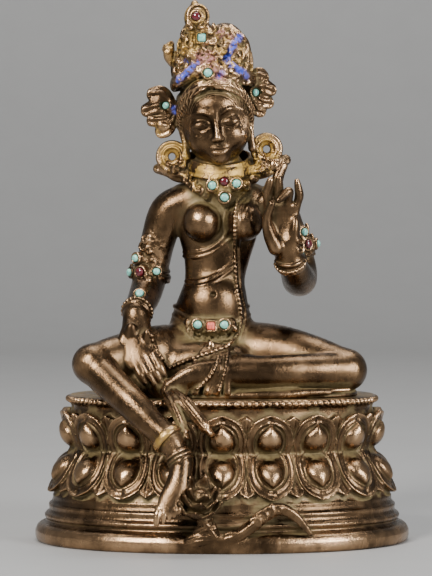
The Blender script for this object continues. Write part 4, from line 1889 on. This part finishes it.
# The hands, the sash's ends, the pendant foot, the bows and the shoulder ribbons
SHELTERED = [
    ((19, -16, 58), (9, 7, 16)), ((-25, -23, 14), (8, 8, 13)), ((-11, -33, -3), (8, 9, 9)),
    ((-14, -46, -27), (6, 6, 10)), ((-19.5, -4, 90), (7, 5, 8)), ((12.5, -3, 96), (6, 5, 7)),
    ((-16, -3, 71), (8, 5, 4)), ((16, -3, 73), (8, 5, 4)), ((14, -24, 2), (30, 5, 3.5)),
    ((-0.8, -5, 72), (13, 9, 4)),
]


# Ellipsoids on the figure: share, centre and radii. Gilding on the collar, necklace, crown and finial,
# deposit in what is sheltered, and chasing on crown, necklace, belt, armlets and earrings.
GILDED = [
    (0.9, (-0.8, -5.0, 72.6), (19, 10, 5.2)), (0.45, (-0.8, -7, 66), (13, 5, 3.5)),
    (0.75, (-5, -11, 109), (15, 9, 11)), (0.85, (-8, -13, 119.5), (5, 5, 6.4)),
    (0.55, (3, -4, 106), (8, 10, 10)),
]
DUSTY = [
    (0.95, (-0.5, -8, 63.5), (13, 6, 6)), (0.6, (-2, -8, 104), (18, 16, 18)),
    (0.95, (-2.5, -11, 96), (13, 7, 7)), (0.85, (-3, -12, 20), (16, 8, 6)), (0.6, (2, -9, 55), (8, 8, 8)),
    (0.9, (-11, -34, -3), (8, 9, 9)),
]
CHASED = [
    (1, (-4, -10, 109), (16, 11, 12.5)), (0.75, (-0.8, -8, 66.5), (12, 5, 3.2)),
    (0.75, (-3, -11, 20), (10, 5, 3.4)), (0.75, (-22.5, 0, 44), (5, 8, 9)),
    (0.75, (23.5, 0, 45), (5, 8, 5)), (0.75, (-15.9, -4, 72.6), (7, 5, 4)),
    (0.75, (14.5, -4, 73.6), (7, 5, 4)),
]
# Further gilding: share, centres and radius. The earrings, the right bow's boss and the crown's bud.
GILT_SPOTS = [
    (0.9, [(-15.9, -3.4, 75.6), (14.2, -3.0, 78.0)], 8.0), (0.9, [(-19.4, -5.0, 84.6)], 3.4),
    (0.7, [(-16.6, -5.0, 110.0)], 5.0),
]
# The gilt anklet: centre, axis and radius
ANKLET = ((-16.6, -40.2, -11.5), (-12.1, 5.9, 11.4), 4.6)
# Where the photograph shows blue and pink paint, in pixels
BLUE_LINES = [
    [(176, 82), (186, 73), (197, 64)], [(224, 57), (234, 66), (247, 76)], [(229, 56), (234, 46), (239, 38)],
]
BLUE_SPOTS = [(173, 108), (175, 112), (186, 62), (219, 77), (222, 73)]
PINK_SPOTS = [(205, 60), (214, 70), (220, 76), (224, 34), (218, 32), (230, 40), (209, 58), (200, 58)]


def strongest(points, places, share=0.0):
    """The largest share at each point over ellipsoids of (share, centre, radii)."""
    for most, centre, radii in places:
        share = np.maximum(share, most * within(points, centre, radii))
    return share


def mark_figure(mesh, clay):
    """Stores where the figure is gilt, painted, dusty, chased and combed."""
    points, _ = mark_relief(mesh, clay, (0.12, 0.2, 0.8, 1.4), SHELTERED)
    local = points - clay.foot
    z = local[:, 2]
    face = within(local, (-2.4, -15.5, 84.5), (8.5, 7.5, 12))
    gilt = strongest(local, GILDED)
    anklet = circle(*ANKLET, np.linspace(0, 2 * np.pi, 12, endpoint=False))
    for share, centres, radius in [*GILT_SPOTS, (0.85, anklet, 2.2)]:
        gilt = np.maximum(gilt, share * near(local, centres, radius))
    mark(mesh, "gilding", gilt * (1 - face))
    blue_lines = np.vstack([clay.seen(along_pixels(line)) for line in BLUE_LINES])
    blue = np.maximum(near(local, blue_lines, 1.7), near(local, clay.seen(BLUE_SPOTS), 1.3) * 0.9)
    mark(mesh, "blue_paint", blue)
    mark(mesh, "pink_paint", near(local, clay.seen(PINK_SPOTS), 3.0) * 0.8)
    dusty = 0.3 + 0.5 * np.clip((9 - z) / 7, 0, 1) * np.clip((z + 10) / 8, 0, 1)
    dusty = np.maximum(strongest(local, DUSTY, dusty), 0.55 * np.clip((-12 - z) / 6, 0, 1))
    mark(mesh, "deposit", dusty * (1 - 0.75 * face))
    chased = strongest(local, CHASED)
    mark(mesh, "chasing", chased)
    from_face = (local - HEAD_PLACE) @ spin(HEAD_TURN)
    away = np.linalg.norm(from_face, axis=1)
    lock = np.arccos(np.clip(-from_face[:, 1] / away, -1, 1))
    mark(mesh, "lock", lock / np.pi)
    combed = np.clip((lock - 0.72) / 0.05, 0, 1) * np.clip((17.5 - away) / 1.5, 0, 1)
    combed *= np.clip((z - 81) / 4, 0, 1)
    knot = within(local, (1.5, 2.5, 106), (11, 9.5, 13)) * (1 - within(local, (-6, -11, 108), (11, 8, 14)))
    mark(mesh, "hair", np.maximum(combed * (1 - chased), knot))


# The foot lotus, and its stalk and leaves
SHELTERED_BELOW = [(FOOT_LOTUS, (9, 9, 10)), ((10, -45, 10), (24, 6, 9))]


def mark_base(mesh, clay):
    """Stores where the base is dusty: in the grooves, round the waist, at the foot and on top."""
    points, normals = mark_relief(mesh, clay, (0.0, 0.0, 0.5, 1.7), SHELTERED_BELOW)
    z = points[:, 2]
    dusty = 0.42 + 0.4 * np.exp(-((z - WAIST_LEVEL) / 3.4) ** 2) + 0.45 * np.exp(-((z - 14.5) / 2.5) ** 2)
    dusty += 0.3 * np.clip((z - 41) / 2, 0, 1)
    dusty *= np.clip((z - 3.0) / 3, 0.25, 1)
    dusty *= 1 - 0.6 * within(points, FOOT_LOTUS, (9, 9, 10))
    dusty[normals[:, 2] > 0.9] += 0.35
    mark(mesh, "deposit", dusty)


def carry(piece, node):
    """Lets a finished piece stand for its CAD node."""
    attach(piece, "root")
    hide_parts(node)


SCULPTED = {}


def base_clay(sizes):
    if "lotus_base" not in SCULPTED:
        SCULPTED["lotus_base"] = sculpt_base(sizes)
    return SCULPTED["lotus_base"]


# The add-on: sizes, operators and panel

def length_property(name, description, default):
    return bpy.props.FloatProperty(name=name, description=description, default=default, subtype="DISTANCE",
                                   unit="LENGTH", precision=5)


class LotusBaseSizes(bpy.types.PropertyGroup):
    petals: bpy.props.IntProperty(
        name="Petals", description="Petals in each of the two rows", default=18, min=8, max=40)
    upper_reach: length_property("Upper reach", "How far the upper petals' tips stand out", 0.0019)
    lower_reach: length_property("Lower reach", "How far the lower petals' tips stand out", 0.0060)
    pearl: length_property("Pearl", "Diameter of the pearls of the rim", 0.0019)


class FigureSizes(bpy.types.PropertyGroup):
    bead: length_property("Bead", "Diameter of the beads on the garments' edges", 0.0014)
    collet_wall: length_property("Collet wall", "Thickness of the metal round each stone", 0.0005)
    gap: length_property("Gap", "Gap between a stone or the base and the figure's metal", 0.00012)


def power_property(name, description, default):
    return bpy.props.FloatProperty(name=name, description=description, default=default, unit="POWER")


def colour_property(name, description, default):
    return bpy.props.FloatVectorProperty(name=name, description=description, default=default,
                                         subtype="COLOR", size=3, min=0.0, max=1.0)


class MetalColours(bpy.types.PropertyGroup):
    dark: colour_property("Dark bronze", "Patina in the hollows", (0.05, 0.03, 0.016))
    bronze: colour_property("Bronze", "The metal's usual brown", (0.165, 0.1, 0.052))
    worn: colour_property("Worn copper", "Metal that hands have polished", (0.42, 0.265, 0.145))
    gold: colour_property("Gold", "Cold gilding", (0.37, 0.225, 0.046))
    dust: colour_property("Deposit", "Dry deposit in the crevices", (0.142, 0.104, 0.04))
    blue: colour_property("Blue", "Paint of the hair and ribbons", (0.04, 0.065, 0.45))
    pink: colour_property("Pink", "Remains of pink paint on the crown", (0.4, 0.16, 0.16))


class StoneColours(bpy.types.PropertyGroup):
    turquoise: colour_property("Turquoise", "The stone's pale green-blue", (0.25, 0.56, 0.44))
    turquoise_deep: colour_property("Deep turquoise", "The stone's darker clouds", (0.12, 0.36, 0.32))
    garnet: colour_property("Garnet", "The red stone's light parts", (0.1, 0.008, 0.014))
    garnet_deep: colour_property("Deep garnet", "The red stone's dark parts", (0.05, 0.004, 0.008))
    coral: colour_property("Coral", "The salmon red of the belt's middle stone", (0.75, 0.16, 0.1))
    coral_deep: colour_property("Deep coral", "The coral's growth lines", (0.5, 0.08, 0.055))


class StudioSizes(bpy.types.PropertyGroup):
    key: power_property("Key", "Power of the light at the upper left", 13.5)
    fill: power_property("Fill", "Power of the broad light at the right", 12.0)
    top: power_property("Top", "Power of the light overhead", 5.0)
    wall: power_property("Wall", "Power of the light on the wall behind", 21.0)
    distance: length_property("Distance", "From the camera to the part's middle", 0.9)


def bronze_colours(metal):
    """The patina's colours, by the sockets of its node group."""
    return {"Dark bronze": metal.dark, "Bronze": metal.bronze, "Worn copper": metal.worn, "Gold": metal.gold,
            "Dust": metal.dust, "Blue": metal.blue, "Pink": metal.pink}


class TARA_OT_lotus_base(bpy.types.Operator):
    """Sculpt and finish the double-lotus base"""
    bl_idname = "tara.lotus_base"
    bl_label = "Lotus base"

    def execute(self, context):
        scene = context.scene
        clay = base_clay(scene.tara_base)
        material = bronze("Bronze of the base", bronze_colours(scene.tara_metal),
                          ("Raised", "Hollow", "Deposit"))
        piece = casting("double_lotus_base", clay, material)
        mark_base(piece.data, clay)
        carry(piece, "lotus_base")
        return {"FINISHED"}


class TARA_OT_figure(bpy.types.Operator):
    """Sculpt and finish the figure with its settings"""
    bl_idname = "tara.figure"
    bl_label = "Figure"

    def execute(self, context):
        scene = context.scene
        base = base_clay(scene.tara_base)
        sizes = scene.tara_figure
        clay = sculpt_figure(sizes)
        set_collets(clay, sizes.collet_wall / MM, sizes.gap / MM)
        clay.clear(base, sizes.gap / MM)
        material = bronze("Bronze of the figure", bronze_colours(scene.tara_metal), MARKS)
        piece = casting("tara", clay, material)
        mark_figure(piece.data, clay)
        carry(piece, "figure")
        return {"FINISHED"}


class TARA_OT_stones(bpy.types.Operator):
    """Cut the stones into their settings"""
    bl_idname = "tara.stones"
    bl_label = "Stones"

    def execute(self, context):
        colours = context.scene.tara_stones
        materials = {
            "turquoise": stone("Turquoise", colours.turquoise_deep, colours.turquoise, (900, 4, 0.6),
                               (0.22, 0.4), (0.3, 0.15), 0.00006, veined=True),
            "garnet": stone("Garnet", colours.garnet_deep, colours.garnet, (1300, 3, 0.5), (0.06, 0.16),
                            (0.6, 0.05)),
            "coral": stone("Coral", colours.coral_deep, colours.coral, (500, 3, 0.5), (0.3, 0.45), (0.2,),
                           0.00005, stretch=(4.0, 1.0, 1.0)),
        }
        for seed, (name, (kind, facing)) in enumerate(STONES.items()):
            piece = cabochon(name, kind, facing, seed)
            slot = kind.split("_")[-1]
            piece.data.materials.append(materials[slot])
            carry(piece, name)
        return {"FINISHED"}


class TARA_OT_studio(bpy.types.Operator):
    """Set the floor, the soft lights and the camera"""
    bl_idname = "tara.studio"
    bl_label = "Studio"

    def execute(self, context):
        set_studio(context.scene)
        return {"FINISHED"}


class TARA_PT_panel(bpy.types.Panel):
    """Sizes and colours of the Tara, and the steps that build it"""
    bl_idname = "TARA_PT_panel"
    bl_label = "Seated Tara"
    bl_space_type = "VIEW_3D"
    bl_region_type = "UI"
    bl_category = "Tara"

    def draw(self, context):
        for operator, group in ((TARA_OT_lotus_base, "tara_base"), (TARA_OT_figure, "tara_figure"),
                                (TARA_OT_stones, "tara_stones"), (TARA_OT_studio, "tara_studio")):
            box = self.layout.box()
            values = getattr(context.scene, group)
            for name in values.__annotations__:
                box.prop(values, name)
            box.operator(operator.bl_idname)
        box = self.layout.box()
        for name in MetalColours.__annotations__:
            box.prop(context.scene.tara_metal, name)


GROUPS = {"tara_base": LotusBaseSizes, "tara_figure": FigureSizes, "tara_metal": MetalColours,
          "tara_stones": StoneColours, "tara_studio": StudioSizes}
CLASSES = (*GROUPS.values(), TARA_OT_lotus_base, TARA_OT_figure, TARA_OT_stones, TARA_OT_studio,
           TARA_PT_panel)


def register():
    for cls in CLASSES:
        bpy.utils.register_class(cls)
    for name, group in GROUPS.items():
        setattr(bpy.types.Scene, name, bpy.props.PointerProperty(type=group))


def unregister():
    for name in GROUPS:
        delattr(bpy.types.Scene, name)
    for cls in reversed(CLASSES):
        bpy.utils.unregister_class(cls)


# Studio


def soft_light(scene, name, place, target, power, size, tint=(1, 1, 1)):
    light = bpy.data.lights.new(name, "AREA")
    light.shape = "RECTANGLE"
    light.size, light.size_y = size
    light.energy = power
    light.color = tint
    lamp = bpy.data.objects.new(name, light)
    lamp.location = place
    lamp.rotation_euler = (Vector(target) - Vector(place)).to_track_quat("-Z", "Y").to_euler()
    scene.collection.objects.link(lamp)


def backdrop(scene):
    """A pale floor that curves up behind the part."""
    points, faces = [], []
    profile = [(-2.4, 0.0), (1.2, 0.0)]
    profile += [(1.2 + 0.5 * math.sin(a), 0.5 - 0.5 * math.cos(a)) for a in np.linspace(0.1, np.pi / 2, 14)]
    profile.append((1.7, 2.4))
    for y, z in profile:
        points += [(-2.0, y, z), (2.0, y, z)]
    for i in range(len(profile) - 1):
        faces.append((2 * i, 2 * i + 1, 2 * i + 3, 2 * i + 2))
    mesh = bpy.data.meshes.new("floor")
    mesh.from_pydata(points, [], faces)
    mesh.shade_smooth()
    floor = bpy.data.objects.new("floor", mesh)
    scene.collection.objects.link(floor)
    material = material_named("Studio paper")
    w, shader, place = shader_start(material)
    grain = w.noise(place, 40, 3, 0.5)
    paper = w.mix(grain, colour((0.245, 0.244, 0.241)), colour((0.265, 0.264, 0.26)))
    w.feed(shader.inputs["Base Color"], paper)
    shader.inputs["Roughness"].default_value = 0.55
    mesh.materials.append(material)


# The camera's sensor in millimetres
SENSOR = 36


def set_studio(scene):
    studio = scene.tara_studio
    backdrop(scene)
    middle = (0, 0, 0.09)
    soft_light(scene, "key", (-0.4, -0.66, 0.56), middle, studio.key, (0.2, 0.32), (1, 0.97, 0.93))
    soft_light(scene, "fill", (0.68, -0.6, 0.36), middle, studio.fill, (0.22, 0.42), (0.97, 0.98, 1))
    soft_light(scene, "top", (0.05, 0.1, 0.9), middle, studio.top, (0.5, 0.4))
    soft_light(scene, "wall", (0.0, 0.45, 1.5), (0, 1.7, 0.35), studio.wall, (1.6, 0.5))
    world = bpy.data.worlds.new("Soft room")
    world.use_nodes = True
    world.node_tree.nodes["Background"].inputs["Color"].default_value = (0.6, 0.6, 0.6, 1)
    world.node_tree.nodes["Background"].inputs["Strength"].default_value = 0.5
    scene.world = world
    lens = bpy.data.cameras.new("camera")
    lens.sensor_width = SENSOR
    width, height = PHOTO
    lens.lens = SENSOR * (studio.distance / MM / PIXEL) / height
    pitch = math.atan((height / 2 - AHEAD[1]) * PIXEL / (studio.distance / MM))
    lens.shift_x = (width / 2 - AHEAD[0]) / height
    camera = bpy.data.objects.new("camera", lens)
    camera.location = [c * MM for c in EYE]
    camera.rotation_euler = (math.pi / 2 - pitch, 0, 0)
    scene.collection.objects.link(camera)
    scene.camera = camera


def main():
    register()
    bpy.ops.tara.lotus_base()
    bpy.ops.tara.figure()
    bpy.ops.tara.stones()
    bpy.ops.tara.studio()


if __name__ == "__main__":
    main()
